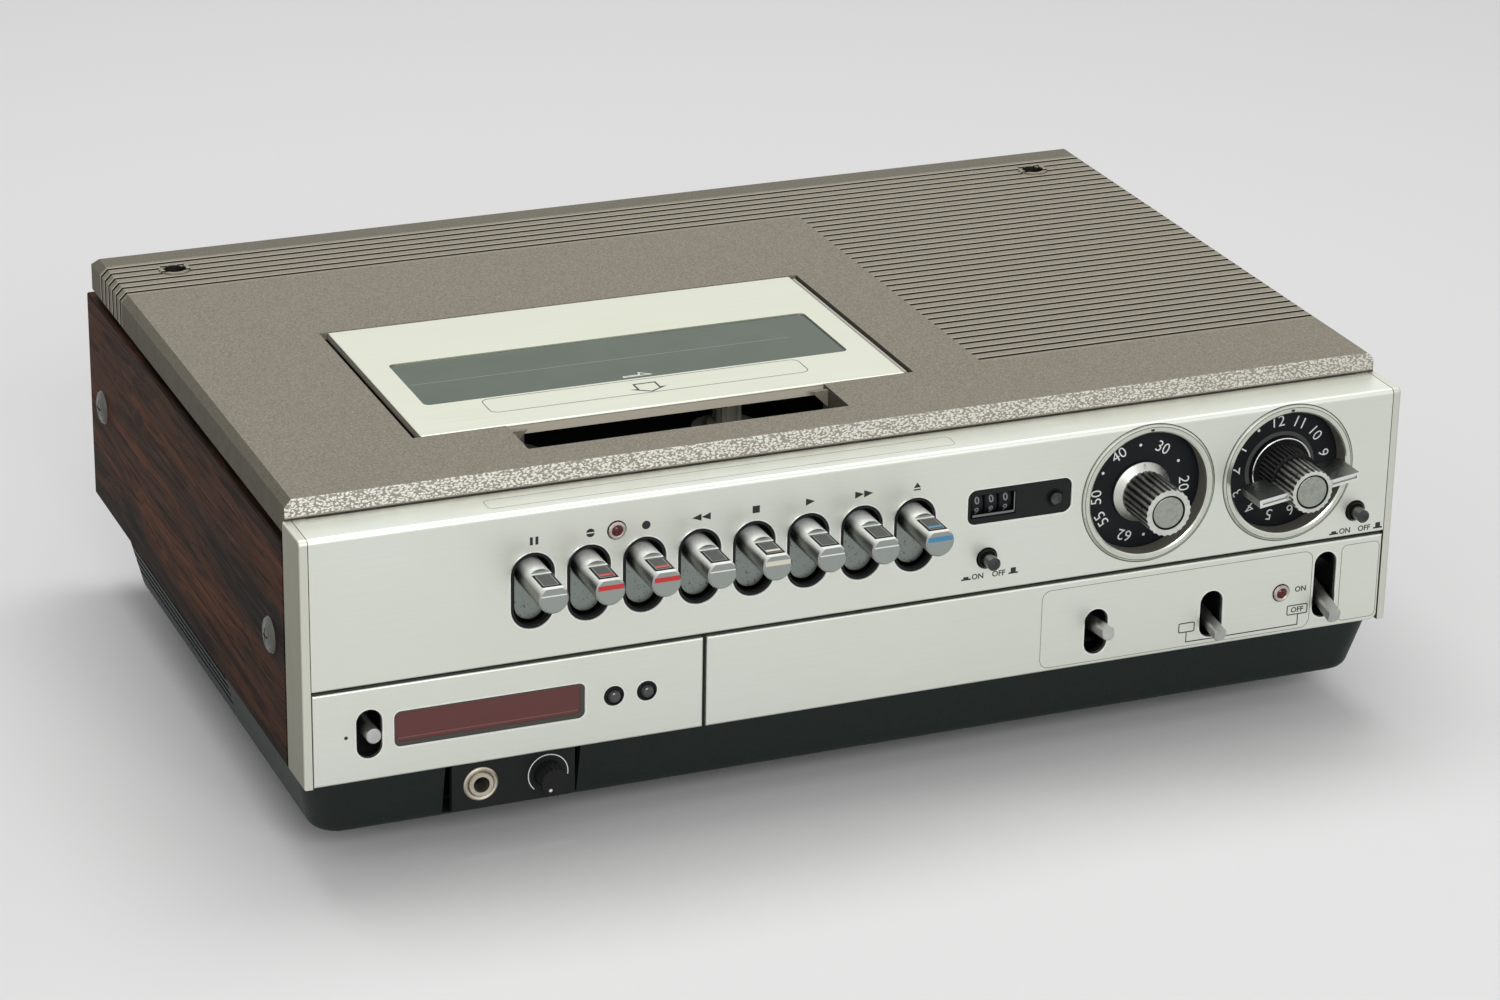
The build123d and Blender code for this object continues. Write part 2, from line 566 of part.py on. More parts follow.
with BuildPart() as front_frame:
    with BuildSketch(front(FRAME_BACK)):
        with Locations((0, (FRAME_TOP + FIT) / 2)):
            Rectangle(2 * FRAME_HALF, FRAME_TOP - FIT)
        with Locations(((KEY_WINDOW[0] + KEY_WINDOW[1]) / 2, (KEY_WINDOW[2] + KEY_WINDOW[3]) / 2)):
            Rectangle(KEY_WINDOW[1] - KEY_WINDOW[0], KEY_WINDOW[3] - KEY_WINDOW[2],
                      mode=Mode.SUBTRACT)
    extrude(amount=FRAME_SHEET)
    # stiffening flange below the ledge
    with BuildSketch(side(-FRAME_HALF)):
        with Locations(((FRAME_BACK + FLANGE_BACK) / 2, FRAME_TOP - FRAME_SHEET / 2)):
            Rectangle(FLANGE_BACK - FRAME_BACK, FRAME_SHEET)
    extrude(amount=2 * FRAME_HALF)
    # wings that lie inside the steel walls, and lugs that carry the end cheeks
    with BuildSketch(level(LUG_BOTTOM)):
        for hand in (-1, 1):
            with Locations((hand * (WALL_OUT - SHEET - FRAME_SHEET / 2),
                            (FRAME_BACK + WING_BACK) / 2)):
                Rectangle(FRAME_SHEET, WING_BACK - FRAME_BACK)
            lug_in = WALL_OUT - SHEET - FRAME_SHEET
            lug_out = HALF_WIDTH - CHEEK_THICKNESS
            with Locations((hand * (lug_in + lug_out) / 2, (FRAME_BACK + FLANGE_BACK) / 2)):
                Rectangle(lug_out - lug_in, FLANGE_BACK - FRAME_BACK)
    extrude(amount=LUG_TOP - LUG_BOTTOM)
    # plate and boss for the microphone jack and the tracking knob
    with BuildSketch(front(BASE_FRONT + JACK_PLATE_SHEET)):
        with Locations((JACK_PLATE_X, (FRAME_SHEET - JACK_PLATE_DROP) / 2)):
            Rectangle(JACK_PLATE_WIDTH, JACK_PLATE_DROP + FRAME_SHEET)
    extrude(amount=JACK_PLATE_SHEET)
    with BuildSketch(front(TRACK_BOSS_DEPTH)):
        with Locations((TRACK_X, TRACK_HEIGHT)):
            Circle(TRACK_BOSS)
    extrude(amount=TRACK_BOSS_DEPTH - BASE_FRONT - FRAME_SHEET / 2)
    # button collars that reach through the panels
    with BuildSketch(front(BUTTON_SLEEVE)):
        for x, height, _ in BUTTONS.values():
            with Locations((x, height)):
                Circle(BUTTON_COLLAR)
    extrude(amount=BUTTON_SLEEVE - SLEEVE_WALL_FRONT)
    with BuildSketch(front(FRAME_BACK)):
        for x, height in LAMPS:
            with Locations((x, height)):
                Circle(LAMP_RING)
    extrude(amount=FRAME_BACK - SLEEVE_WALL_FRONT)
    # openings; those of the tuners also notch the flange
    with BuildSketch(front(FLANGE_BACK)):
        for axis_x, _ in (UHF_AXIS, VHF_AXIS):
            with Locations((axis_x, BEZEL_HEIGHT)):
                Circle(BEZEL_TUBE + 1.0)
    extrude(amount=FLANGE_BACK, mode=Mode.SUBTRACT)
    with BuildSketch(front(FRAME_BACK)):
        with Locations((COUNTER_X, COUNTER_HEIGHT)):
            RectangleRounded(*COUNTER_SIZE, COUNTER_ROUND)
        for name in LEVERS:
            lever_slot(name, growth=0.8)
    extrude(amount=FRAME_SHEET, mode=Mode.SUBTRACT)
    with BuildSketch(front(BUTTON_SLEEVE)):
        for x, height, _ in BUTTONS.values():
            with Locations((x, height)):
                Circle(BUTTON_RADIUS + RUN)
        for x, height in LAMPS:
            with Locations((x, height)):
                Circle(LAMP_RADIUS + RUN)
        with Locations((TRACK_X, TRACK_HEIGHT)):
            Circle(TRACK_SHAFT + RUN)
        with Locations((MIC_X, MIC_HEIGHT)):
            Circle(MIC_BODY + RUN)
    extrude(amount=BUTTON_SLEEVE - SLEEVE_WALL_FRONT, mode=Mode.SUBTRACT)
    # ears and hinge pins for the levers
    for x, middle, _, _, _, _ in LEVERS.values():
        for hand in (-1, 1):
            with BuildSketch(side(x + hand * (LEVER_HUB_HALF + FIT))):
                with Locations(((FRAME_BACK + LEVER_EAR_DEPTH) / 2, middle)):
                    Rectangle(LEVER_EAR_DEPTH - FRAME_BACK, 2 * LEVER_EAR_HALF)
            extrude(amount=hand * LEVER_EAR)
        with BuildSketch(side(x - LEVER_HUB_HALF - FIT)):
            with Locations((LEVER_PIVOT_DEPTH, middle)):
                Circle(LEVER_PIN)
        extrude(amount=2 * (LEVER_HUB_HALF + FIT))
save(front_frame.part, "front_frame")

# ============================================================ ribbed top cover
COVER_INSIDE = COVER_TOP - COVER_WALL
NOTCH_WALL = 1.5
GUSSET = 7.0
GUSSET_DEPTH = 60.0
BOSS_RADIUS = 6.5
BOSS_RISE = 0.7
BOSS_FLOOR = 97.0
COVER_SHANK = 2.0


def cover_outline(inset=0.0):
    """Corners of the front view of the cover, with chamfered shoulders."""
    half = COVER_HALF - inset
    top = COVER_TOP - inset
    return [(-half, COVER_SKIRT), (half, COVER_SKIRT), (half, top - COVER_CHAMFER),
            (half - COVER_CHAMFER, top), (COVER_CHAMFER - half, top), (-half, top - COVER_CHAMFER)]


with BuildPart() as rib_grooves:
    for index in range(RIB_COUNT):
        depth = RIB_LAST_DEPTH - index * RIB_PITCH
        with BuildSketch(front(depth + RIB_GROOVE_WIDTH / 2)):
            Polygon(*cover_outline(-1.0), align=None)
            Polygon(*cover_outline(RIB_GROOVE_DEPTH), align=None, mode=Mode.SUBTRACT)
            if index >= RIB_FULL:
                with Locations(((RIB_FIELD_X - HALF_WIDTH) / 2 - 1.0, COVER_TOP)):
                    Rectangle(HALF_WIDTH + RIB_FIELD_X + 2.0, 4 * COVER_RISE, mode=Mode.SUBTRACT)
        extrude(amount=RIB_GROOVE_WIDTH)

with BuildPart() as top_cover:
    with BuildSketch(front(COVER_BACK)):
        Polygon(*cover_outline(), align=None)
    extrude(amount=COVER_BACK - COVER_FRONT)
    rims = top_cover.edges().filter_by(Axis.X).group_by(Axis.Z)[-1].sort_by(Axis.Y)
    chamfer(rims[-1], COVER_CHAMFER)
    fillet(top_cover.edges().filter_by(Axis.X).group_by(Axis.Z)[-1].sort_by(Axis.Y)[0], 1.0)
    with BuildSketch(level(COVER_SKIRT)):
        with Locations((0, (COVER_FRONT + COVER_BACK) / 2)):
            Rectangle(2 * (COVER_HALF - COVER_WALL), COVER_BACK - COVER_FRONT - 2 * COVER_WALL)
    extrude(amount=COVER_INSIDE - COVER_SKIRT, mode=Mode.SUBTRACT)
    # folded rim of the notch, with a gusset at each end
    with BuildSketch(level(COVER_INSIDE - NOTCH_SKIRT)):
        for wall_x in (NOTCH_LEFT - NOTCH_WALL / 2, NOTCH_RIGHT + NOTCH_WALL / 2):
            with Locations((wall_x, (NOTCH_FRONT - NOTCH_WALL + BAY_FRONT) / 2)):
                Rectangle(NOTCH_WALL, BAY_FRONT - NOTCH_FRONT + NOTCH_WALL)
        with Locations(((NOTCH_LEFT + NOTCH_RIGHT) / 2, NOTCH_FRONT - NOTCH_WALL / 2)):
            Rectangle(NOTCH_RIGHT - NOTCH_LEFT, NOTCH_WALL)
    extrude(amount=NOTCH_SKIRT)
    # screw bosses
    with BuildSketch(level(COVER_SKIRT)):
        with Locations(*COVER_SCREWS):
            Circle(BOSS_RADIUS)
    extrude(amount=COVER_TOP + BOSS_RISE - COVER_SKIRT)
    # the compartment opening and its notch
    with BuildSketch(level(COVER_INSIDE)):
        with Locations((BAY_X, (BAY_FRONT + BAY_BACK) / 2)):
            Rectangle(2 * BAY_HALF, BAY_BACK - BAY_FRONT)
        with Locations(((NOTCH_LEFT + NOTCH_RIGHT) / 2, (NOTCH_FRONT + BAY_FRONT) / 2)):
            Rectangle(NOTCH_RIGHT - NOTCH_LEFT, BAY_FRONT - NOTCH_FRONT)
    extrude(amount=COVER_RISE, mode=Mode.SUBTRACT)
    with BuildSketch(front(GUSSET_DEPTH)):
        with BuildLine():
            Polyline((NOTCH_LEFT, COVER_TOP - 1.0), (NOTCH_LEFT + GUSSET, COVER_TOP - 1.0),
                     (NOTCH_LEFT, COVER_TOP - 1.0 - GUSSET), close=True)
        make_face()
        with BuildLine():
            Polyline((NOTCH_RIGHT, COVER_TOP - 1.0), (NOTCH_RIGHT - GUSSET, COVER_TOP - 1.0),
                     (NOTCH_RIGHT, COVER_TOP - 1.0 - GUSSET), close=True)
        make_face()
    extrude(amount=NOTCH_WALL)
    # the field of rib grooves
    add(rib_grooves.part, mode=Mode.SUBTRACT)
    with BuildSketch(level(COVER_SKIRT)):
        with Locations(*COVER_SCREWS):
            Circle(COVER_SHANK + RUN)
    extrude(amount=COVER_RISE, mode=Mode.SUBTRACT)
    with BuildSketch(level(BOSS_FLOOR)):
        with Locations(*COVER_SCREWS):
            Circle(COVER_SCREW_HOLE)
    extrude(amount=2 * COVER_RISE, mode=Mode.SUBTRACT)
save(top_cover.part, "top_cover")

COVER_SCREW_HEAD = 4.2
COVER_SCREW_RISE = 2.6
COVER_SCREW_END = 88.0
with BuildPart() as cover_screws:
    for x, depth in COVER_SCREWS:
        with BuildSketch(upright(x, depth)):
            with BuildLine():
                Polyline((0, COVER_SCREW_END), (COVER_SHANK, COVER_SCREW_END),
                         (COVER_SHANK, BOSS_FLOOR), (COVER_SCREW_HEAD, BOSS_FLOOR),
                         (COVER_SCREW_HEAD, BOSS_FLOOR + COVER_SCREW_RISE * 0.6),
                         (COVER_SCREW_HEAD * 0.6, BOSS_FLOOR + COVER_SCREW_RISE),
                         (0, BOSS_FLOOR + COVER_SCREW_RISE), close=True)
            make_face()
        revolve(axis=mast(x, depth))
    with BuildSketch(level(BOSS_FLOOR + COVER_SCREW_RISE / 2)):
        with Locations(*COVER_SCREWS):
            Rectangle(COVER_SCREW_HEAD, SCREW_SLOT)
            Rectangle(SCREW_SLOT, COVER_SCREW_HEAD)
    extrude(amount=COVER_SCREW_RISE, mode=Mode.SUBTRACT)
save(cover_screws.part, "cover_screws")

# ============================================================ rear panel and its connectors
REAR_FLANGE_FRONT = 288.0
TAB_FRONT = 264.0
TAB_WIDTH = 20.0
REAR_VENT = (34.0, 2.4)
REAR_VENT_PITCH = 5.0
REAR_VENT_COUNT = 10
REAR_VENTS = (76.5 - HALF_WIDTH, 121.5 - HALF_WIDTH, 166.5 - HALF_WIDTH)
REAR_VENT_TOP = 78.0
PLATE_REAR = REAR_DEPTH + SHEET
TERMINAL_X = HALF_WIDTH - 76.5
TERMINAL_HEIGHT = 58.0
INLET_X = TERMINAL_X - 64.0
INLET_HEIGHT = 24.0
INLET_SIZE = (30.0, 22.0)

with BuildPart() as rear_panel:
    with BuildSketch(front(PLATE_REAR)):
        with Locations((0, COVER_SKIRT / 2)):
            Rectangle(2 * WALL_OUT, COVER_SKIRT)
        for x in REAR_VENTS:
            for row in range(REAR_VENT_COUNT):
                with Locations((x, REAR_VENT_TOP - row * REAR_VENT_PITCH)):
                    SlotOverall(*REAR_VENT, mode=Mode.SUBTRACT)
        with Locations((INLET_X, INLET_HEIGHT)):
            Rectangle(INLET_SIZE[0] + 2 * FIT, INLET_SIZE[1] + 2 * FIT, mode=Mode.SUBTRACT)
    extrude(amount=SHEET)
    # flanges that lie inside the steel walls
    with BuildSketch(level(SHEET)):
        for hand in (-1, 1):
            with Locations((hand * (WALL_OUT - 1.5 * SHEET), (REAR_FLANGE_FRONT + REAR_DEPTH) / 2)):
                Rectangle(SHEET, REAR_DEPTH - REAR_FLANGE_FRONT)
    extrude(amount=COVER_SKIRT - SHEET)
    with BuildSketch(level(COVER_SKIRT - SHEET)):
        with Locations((0, (REAR_FLANGE_FRONT + REAR_DEPTH) / 2)):
            Rectangle(2 * (WALL_OUT - SHEET), REAR_DEPTH - REAR_FLANGE_FRONT)
        for x, _ in COVER_SCREWS:
            with Locations((x, (TAB_FRONT + REAR_DEPTH) / 2)):
                Rectangle(TAB_WIDTH, REAR_DEPTH - TAB_FRONT)
    extrude(amount=SHEET)
    with BuildSketch(level(COVER_SKIRT - 2 * SHEET)):
        with Locations(*COVER_SCREWS):
            Circle(COVER_SHANK + RUN)
    extrude(amount=4 * SHEET, mode=Mode.SUBTRACT)
save(rear_panel.part, "rear_panel")

TERMINAL_BASE = 3.0
TERMINAL_STRIP = (104.0, 52.0)
TERMINAL_CORNER = 3.0
TERMINAL_FACE = PLATE_REAR + TERMINAL_BASE
PHONO_ROW = TERMINAL_HEIGHT + 13.0
PHONO_RADIUS = 4.2
PHONO_BORE = 1.6
PHONO_PITCH = 18.0
PHONO_REACH = TERMINAL_REACH - 3.0
PHONO_FOOT = 1.2
ANTENNA_ROW = TERMINAL_HEIGHT - 11.0
ANTENNA_RADIUS = 4.7
ANTENNA_BORE = 1.0
ANTENNA_BORE_DEPTH = 9.0
ANTENNA_PITCH = 24.0
SOCKETS = 4
INLET_FLANGE = (8.0, 6.0)
INLET_PROUD = 3.0
INLET_DEPTH = 22.0
INLET_WALL = 4.0
INLET_CORNER = 4.0
PIN_RADIUS = 1.2
PIN_SPREAD = 5.0
PIN_LENGTH = 12.0
SOCKET_MIDDLE = (SOCKETS - 1) / 2

with BuildPart() as rear_terminals:
    # one moulded strip with four aerial sockets, and room for the phono sockets above them
    with BuildSketch(front(TERMINAL_FACE)):
        with Locations((TERMINAL_X, TERMINAL_HEIGHT)):
            RectangleRounded(*TERMINAL_STRIP, TERMINAL_CORNER)
    extrude(amount=TERMINAL_BASE)
    aerial = [(TERMINAL_X + (index - SOCKET_MIDDLE) * ANTENNA_PITCH, ANTENNA_ROW) for index in range(SOCKETS)]
    with BuildSketch(front(TERMINAL_FACE)):
        with Locations(*aerial):
            Circle(ANTENNA_RADIUS)
    extrude(amount=TERMINAL_FACE - TERMINAL_REACH)
    with BuildSketch(front(TERMINAL_REACH)):
        with Locations(*aerial):
            Circle(ANTENNA_BORE)
    extrude(amount=ANTENNA_BORE_DEPTH, mode=Mode.SUBTRACT)
    # two-pin mains inlet set in the panel
    with BuildSketch(front(PLATE_REAR + INLET_PROUD)):
        with Locations((INLET_X, INLET_HEIGHT)):
            Rectangle(INLET_SIZE[0] + INLET_FLANGE[0], INLET_SIZE[1] + INLET_FLANGE[1])
    extrude(amount=INLET_PROUD)
    with BuildSketch(front(PLATE_REAR)):
        with Locations((INLET_X, INLET_HEIGHT)):
            Rectangle(*INLET_SIZE)
    extrude(amount=INLET_DEPTH)
    with BuildSketch(front(PLATE_REAR + INLET_PROUD)):
        with Locations((INLET_X, INLET_HEIGHT)):
            RectangleRounded(INLET_SIZE[0] - 2 * INLET_PROUD, INLET_SIZE[1] - 2 * INLET_WALL, INLET_CORNER)
    extrude(amount=INLET_DEPTH - INLET_WALL, mode=Mode.SUBTRACT)
    with BuildSketch(front(PLATE_REAR + INLET_PROUD - INLET_DEPTH + INLET_WALL)):
        with Locations((INLET_X - PIN_SPREAD, INLET_HEIGHT), (INLET_X + PIN_SPREAD, INLET_HEIGHT)):
            Circle(PIN_RADIUS)
    extrude(amount=-PIN_LENGTH)
save(rear_terminals.part, "rear_terminals")

with BuildPart() as phono_sockets:
    # four metal sleeves, each with a wider foot on the strip
    for index in range(SOCKETS):
        socket_x = TERMINAL_X + (index - SOCKET_MIDDLE) * PHONO_PITCH
        with BuildSketch(lathe(socket_x, PHONO_ROW)):
            with BuildLine():
                Polyline((PHONO_BORE, TERMINAL_FACE), (PHONO_RADIUS + PHONO_FOOT, TERMINAL_FACE),
                         (PHONO_RADIUS + PHONO_FOOT, TERMINAL_FACE + PHONO_FOOT),
                         (PHONO_RADIUS, TERMINAL_FACE + PHONO_FOOT), (PHONO_RADIUS, PHONO_REACH),
                         (PHONO_BORE, PHONO_REACH), close=True)
            make_face()
        revolve(axis=spindle(socket_x, PHONO_ROW))
save(phono_sockets.part, "phono_sockets")

# ============================================================ deck with its lower drum
POST_X = 101.0
POST_DEPTHS = (92.0, 278.0)
REEL_OFFSET = 46.0
REEL_DEPTH = 117.0
REEL_PIN = 2.0
REEL_PIN_TOP = 82.0
DRUM_DEPTH = 222.0
DRUM_TILT = 5.0
DRUM_RADIUS = 31.0
DRUM_PLINTH = 20.0
DRUM_LOWER = (5.0, 22.0)
DRUM_UPPER = (22.4, 32.0)
DRUM_SHAFT = 3.0
DRUM_SHAFT_TOP = 34.0
GUIDE_RADIUS = 3.0
GUIDE_CAP = 4.4
GUIDES = ((-62.0, 196.0), (62.0, 196.0), (-46.0, 236.0), (46.0, 236.0), (-80.0, 190.0), (80.0, 190.0))
GUIDE_TOP = 94.0
WING_INNER = 98.0
WING_FRONT = 63.0
DRUM_PLANE = Plane(origin=(BAY_X, FRONT_Y + DRUM_DEPTH, PANEL_Z + DECK_TOP), x_dir=(1, 0, 0),
                   z_dir=(0, -math.cos(math.radians(DRUM_TILT)), -math.sin(math.radians(DRUM_TILT))))
DRUM_AXIS = Axis(DRUM_PLANE.origin, DRUM_PLANE.y_dir)

with BuildPart() as deck_plate:
    with BuildSketch(level(DECK_TOP - DECK_SHEET)):
        with Locations((BAY_X, (DECK_FRONT + DECK_BACK) / 2)):
            Rectangle(2 * DECK_HALF, DECK_BACK - DECK_FRONT)
        for hand in (-1, 1):
            with Locations((BAY_X + hand * (WING_INNER + DECK_HALF) / 2, (WING_FRONT + DECK_FRONT) / 2)):
                Rectangle(DECK_HALF - WING_INNER, DECK_FRONT - WING_FRONT)
    extrude(amount=DECK_SHEET)
    with BuildSketch(level(SHEET)):
        for depth in POST_DEPTHS:
            with Locations((BAY_X - POST_X, depth), (BAY_X + POST_X, depth)):
                Circle(POST_RADIUS)
    extrude(amount=DECK_TOP - DECK_SHEET - SHEET)
    with BuildSketch(level(DECK_TOP - DECK_SHEET / 2)):
        with Locations((BAY_X - REEL_OFFSET, REEL_DEPTH), (BAY_X + REEL_OFFSET, REEL_DEPTH)):
            Circle(REEL_PIN)
    extrude(amount=REEL_PIN_TOP - DECK_TOP + DECK_SHEET / 2)
    with BuildSketch(level(DECK_TOP - DECK_SHEET / 2)):
        for across, depth in GUIDES:
            with Locations((BAY_X + across, depth)):
                Circle(GUIDE_RADIUS)
    extrude(amount=GUIDE_TOP - DECK_TOP + DECK_SHEET / 2)
    with BuildSketch(level(GUIDE_TOP)):
        for across, depth in GUIDES:
            with Locations((BAY_X + across, depth)):
                Circle(GUIDE_CAP)
    extrude(amount=GUIDE_RADIUS)
    # upright plinth that carries the tilted lower drum
    with BuildSketch(level(DECK_TOP - DECK_SHEET / 2)):
        with Locations((BAY_X, DRUM_DEPTH)):
            Circle(DRUM_PLINTH)
    extrude(amount=DECK_SHEET / 2 + DRUM_LOWER[0] + DRUM_LOWER[0] / 2)
    with BuildSketch(DRUM_PLANE):
        with BuildLine():
            Polyline((0, DRUM_LOWER[0]), (DRUM_RADIUS, DRUM_LOWER[0]),
                     (DRUM_RADIUS, DRUM_LOWER[1]), (DRUM_SHAFT, DRUM_LOWER[1]),
                     (DRUM_SHAFT, DRUM_SHAFT_TOP), (0, DRUM_SHAFT_TOP), close=True)
        make_face()
    revolve(axis=DRUM_AXIS)
save(deck_plate.part, "deck_plate")

DRUM_EDGE = 0.8
DRUM_DISH_RADIUS = 12.0
DRUM_DISH = 2.5
HEAD_SLOT_DEPTH = 3.0
HEAD_SLOT = (4.0, 2.4)
with BuildPart() as upper_drum:
    with BuildSketch(DRUM_PLANE):
        with BuildLine():
            Polyline((DRUM_SHAFT + RUN, DRUM_UPPER[0]), (DRUM_RADIUS, DRUM_UPPER[0]),
                     (DRUM_RADIUS, DRUM_UPPER[1] - DRUM_EDGE), (DRUM_RADIUS - DRUM_EDGE, DRUM_UPPER[1]),
                     (DRUM_DISH_RADIUS, DRUM_UPPER[1]), (DRUM_DISH_RADIUS, DRUM_UPPER[1] - DRUM_DISH),
                     (DRUM_SHAFT + RUN, DRUM_UPPER[1] - DRUM_DISH), close=True)
        make_face()
    revolve(axis=DRUM_AXIS)
    # two windows for the heads
    with BuildSketch(Plane(origin=DRUM_PLANE.origin + DRUM_PLANE.y_dir * (DRUM_UPPER[0] - RUN),
                           x_dir=(1, 0, 0), z_dir=DRUM_PLANE.y_dir)):
        for hand in (-1, 1):
            with Locations((hand * DRUM_RADIUS, 0)):
                Rectangle(*HEAD_SLOT)
    extrude(amount=HEAD_SLOT_DEPTH, mode=Mode.SUBTRACT)
save(upper_drum.part, "upper_drum")

REEL_RADIUS = 14.0
REEL_BASE = 6.0
REEL_SPINDLE = 4.6
REEL_TOP = 86.0
REEL_FIN = (6.2, 1.6)
REEL_FIN_TOP = 82.0
REEL_LIFT = 0.3
REEL_HUB = 8.0
REEL_HUB_RISE = 2.0
REEL_CROWN = (2.0, 2.5)
for hand, node in ((-1, "supply_reel"), (1, "take_up_reel")):
    reel_x = BAY_X + hand * REEL_OFFSET
    with BuildPart() as reel:
        with BuildSketch(upright(reel_x, REEL_DEPTH)):
            with BuildLine():
                Polyline((0, DECK_TOP + REEL_LIFT), (REEL_RADIUS, DECK_TOP + REEL_LIFT),
                         (REEL_RADIUS, DECK_TOP + REEL_BASE), (REEL_HUB, DECK_TOP + REEL_BASE),
                         (REEL_HUB, DECK_TOP + REEL_BASE + REEL_HUB_RISE),
                         (REEL_SPINDLE, DECK_TOP + REEL_BASE + REEL_HUB_RISE),
                         (REEL_SPINDLE, REEL_TOP - REEL_CROWN[1]), (REEL_SPINDLE - REEL_CROWN[0], REEL_TOP),
                         (0, REEL_TOP), close=True)
            make_face()
        revolve(axis=mast(reel_x, REEL_DEPTH))
        with BuildSketch(level(DECK_TOP + REEL_BASE)):
            with Locations((reel_x, REEL_DEPTH)):
                with PolarLocations(REEL_FIN[0] / 2, 3):
                    Rectangle(*REEL_FIN)
        extrude(amount=REEL_FIN_TOP - DECK_TOP - REEL_BASE)
        with BuildSketch(level(DECK_TOP)):
            with Locations((reel_x, REEL_DEPTH)):
                Circle(REEL_PIN + RUN)
        extrude(amount=REEL_PIN_TOP + REEL_LIFT - DECK_TOP, mode=Mode.SUBTRACT)
    save(reel.part, node)

# ============================================================ cassette carriage and lid
LIP_THICKNESS = 2.0
CARRIER_FRONT = LID_FRONT + LIP_THICKNESS + FIT
CARRIER_SLOT_PLAY = 0.4
CARRIER_WINDOW_EDGE = 3.0
STOP_PLATE = 1.2

with BuildPart() as cassette_carriage:
    for hand in (-1, 1):
        with BuildSketch(side(BAY_X + hand * CARRIER_INNER)):
            with Locations(((CARRIER_FRONT + CARRIER_BACK) / 2, (CARRIER_FLOOR + CARRIER_TOP) / 2)):
                Rectangle(CARRIER_BACK - CARRIER_FRONT, CARRIER_TOP - CARRIER_FLOOR)
            # pivot hole of the inner arm and slot for the pin of the outer arm
            with Locations((ARM_FOOT_DEPTH, ARM_HEAD_HEIGHT)):
                Circle(ARM_PIN + RUN, mode=Mode.SUBTRACT)
            slot_length = ARM_REACH - ARM_REACH_UP + 2 * (ARM_PIN + CARRIER_SLOT_PLAY)
            with Locations((ARM_FOOT_DEPTH + (ARM_REACH + ARM_REACH_UP) / 2, ARM_HEAD_HEIGHT)):
                SlotOverall(slot_length, 2 * (ARM_PIN + CARRIER_SLOT_PLAY), mode=Mode.SUBTRACT)
        extrude(amount=hand * CARRIER_SHEET)
    with BuildSketch(level(CARRIER_FLOOR)):
        for hand in (-1, 1):
            with Locations((BAY_X + hand * (CARRIER_INNER - CARRIER_FLANGE / 2),
                            (CARRIER_FRONT + CARRIER_BACK) / 2)):
                Rectangle(CARRIER_FLANGE, CARRIER_BACK - CARRIER_FRONT)
    extrude(amount=CARRIER_SHEET)
    with BuildSketch(level(CARRIER_TOP - CARRIER_SHEET)):
        with Locations((BAY_X, (CARRIER_FRONT + CARRIER_BACK) / 2)):
            Rectangle(2 * CARRIER_INNER, CARRIER_BACK - CARRIER_FRONT)
        with Locations((BAY_X, (WINDOW_FRONT + WINDOW_BACK) / 2)):
            Rectangle(2 * (WINDOW_HALF - CARRIER_WINDOW_EDGE),
                      WINDOW_BACK - WINDOW_FRONT - 2 * CARRIER_WINDOW_EDGE, mode=Mode.SUBTRACT)
    extrude(amount=CARRIER_SHEET)
    # back stop for the cassette
    with BuildSketch(front(CARRIER_BACK)):
        with Locations((BAY_X, (CARRIER_FLOOR + CARRIER_TOP) / 2)):
            Rectangle(2 * CARRIER_INNER, CARRIER_TOP - CARRIER_FLOOR)
            Rectangle(2 * (CARRIER_INNER - CARRIER_FLANGE), CARRIER_TOP - CARRIER_FLOOR - 2 * CARRIER_FLANGE / 3,
                      mode=Mode.SUBTRACT)
    extrude(amount=STOP_PLATE)
save(cassette_carriage.part, "cassette_carriage")

PANE_GAP = 0.3
PANE_RECESS = 0.6
LID_EDGE = 0.6
with BuildPart() as lid_plate:
    with BuildSketch(level(CARRIER_TOP)):
        with Locations((BAY_X, (LID_FRONT + LID_BACK) / 2)):
            Rectangle(2 * LID_HALF, LID_BACK - LID_FRONT)
    extrude(amount=LID_SHEET)
    with BuildSketch(level(COVER_TOP - LID_LIP)):
        with Locations((BAY_X, LID_FRONT + LIP_THICKNESS / 2)):
            Rectangle(2 * LID_HALF, LIP_THICKNESS)
    extrude(amount=LID_LIP)
    fillet(lid_plate.faces().sort_by(Axis.Z)[-1].edges(), LID_EDGE)
    with BuildSketch(level(CARRIER_TOP)):
        with Locations((BAY_X, (WINDOW_FRONT + WINDOW_BACK) / 2)):
            RectangleRounded(2 * WINDOW_HALF, WINDOW_BACK - WINDOW_FRONT, WINDOW_ROUND)
    extrude(amount=LID_SHEET, mode=Mode.SUBTRACT)
save(lid_plate.part, "lid_plate")

with BuildPart() as lid_window:
    with BuildSketch(level(CARRIER_TOP)):
        with Locations((BAY_X, (WINDOW_FRONT + WINDOW_BACK) / 2)):
            RectangleRounded(2 * (WINDOW_HALF - PANE_GAP), WINDOW_BACK - WINDOW_FRONT - 2 * PANE_GAP,
                             WINDOW_ROUND - PANE_GAP)
    extrude(amount=LID_SHEET - PANE_RECESS)
save(lid_window.part, "lid_window")

# ============================================================ crossed lift arms and brackets
ARM_CROSS_DEPTH = ARM_FOOT_DEPTH + ARM_REACH / 2
ARM_CROSS_HEIGHT = ARM_FOOT_HEIGHT + ARM_RISE / 2
BRACKET_TOP = 84.0
BRACKET_FRONT = 64.0
BRACKET_BACK = 180.0
BRACKET_FOOT = 6.0
ARM_END = ARM_WIDTH / 2


def arm_outline(rise):
    """Side view of one arm; rise is +1 when its rear end is the high one."""
    middle = (ARM_CROSS_DEPTH, ARM_CROSS_HEIGHT)
    with Locations(Location((middle[0], middle[1], 0), (0, 0, rise * ARM_REST))):
        SlotCenterToCenter(ARM_SPAN, ARM_WIDTH)


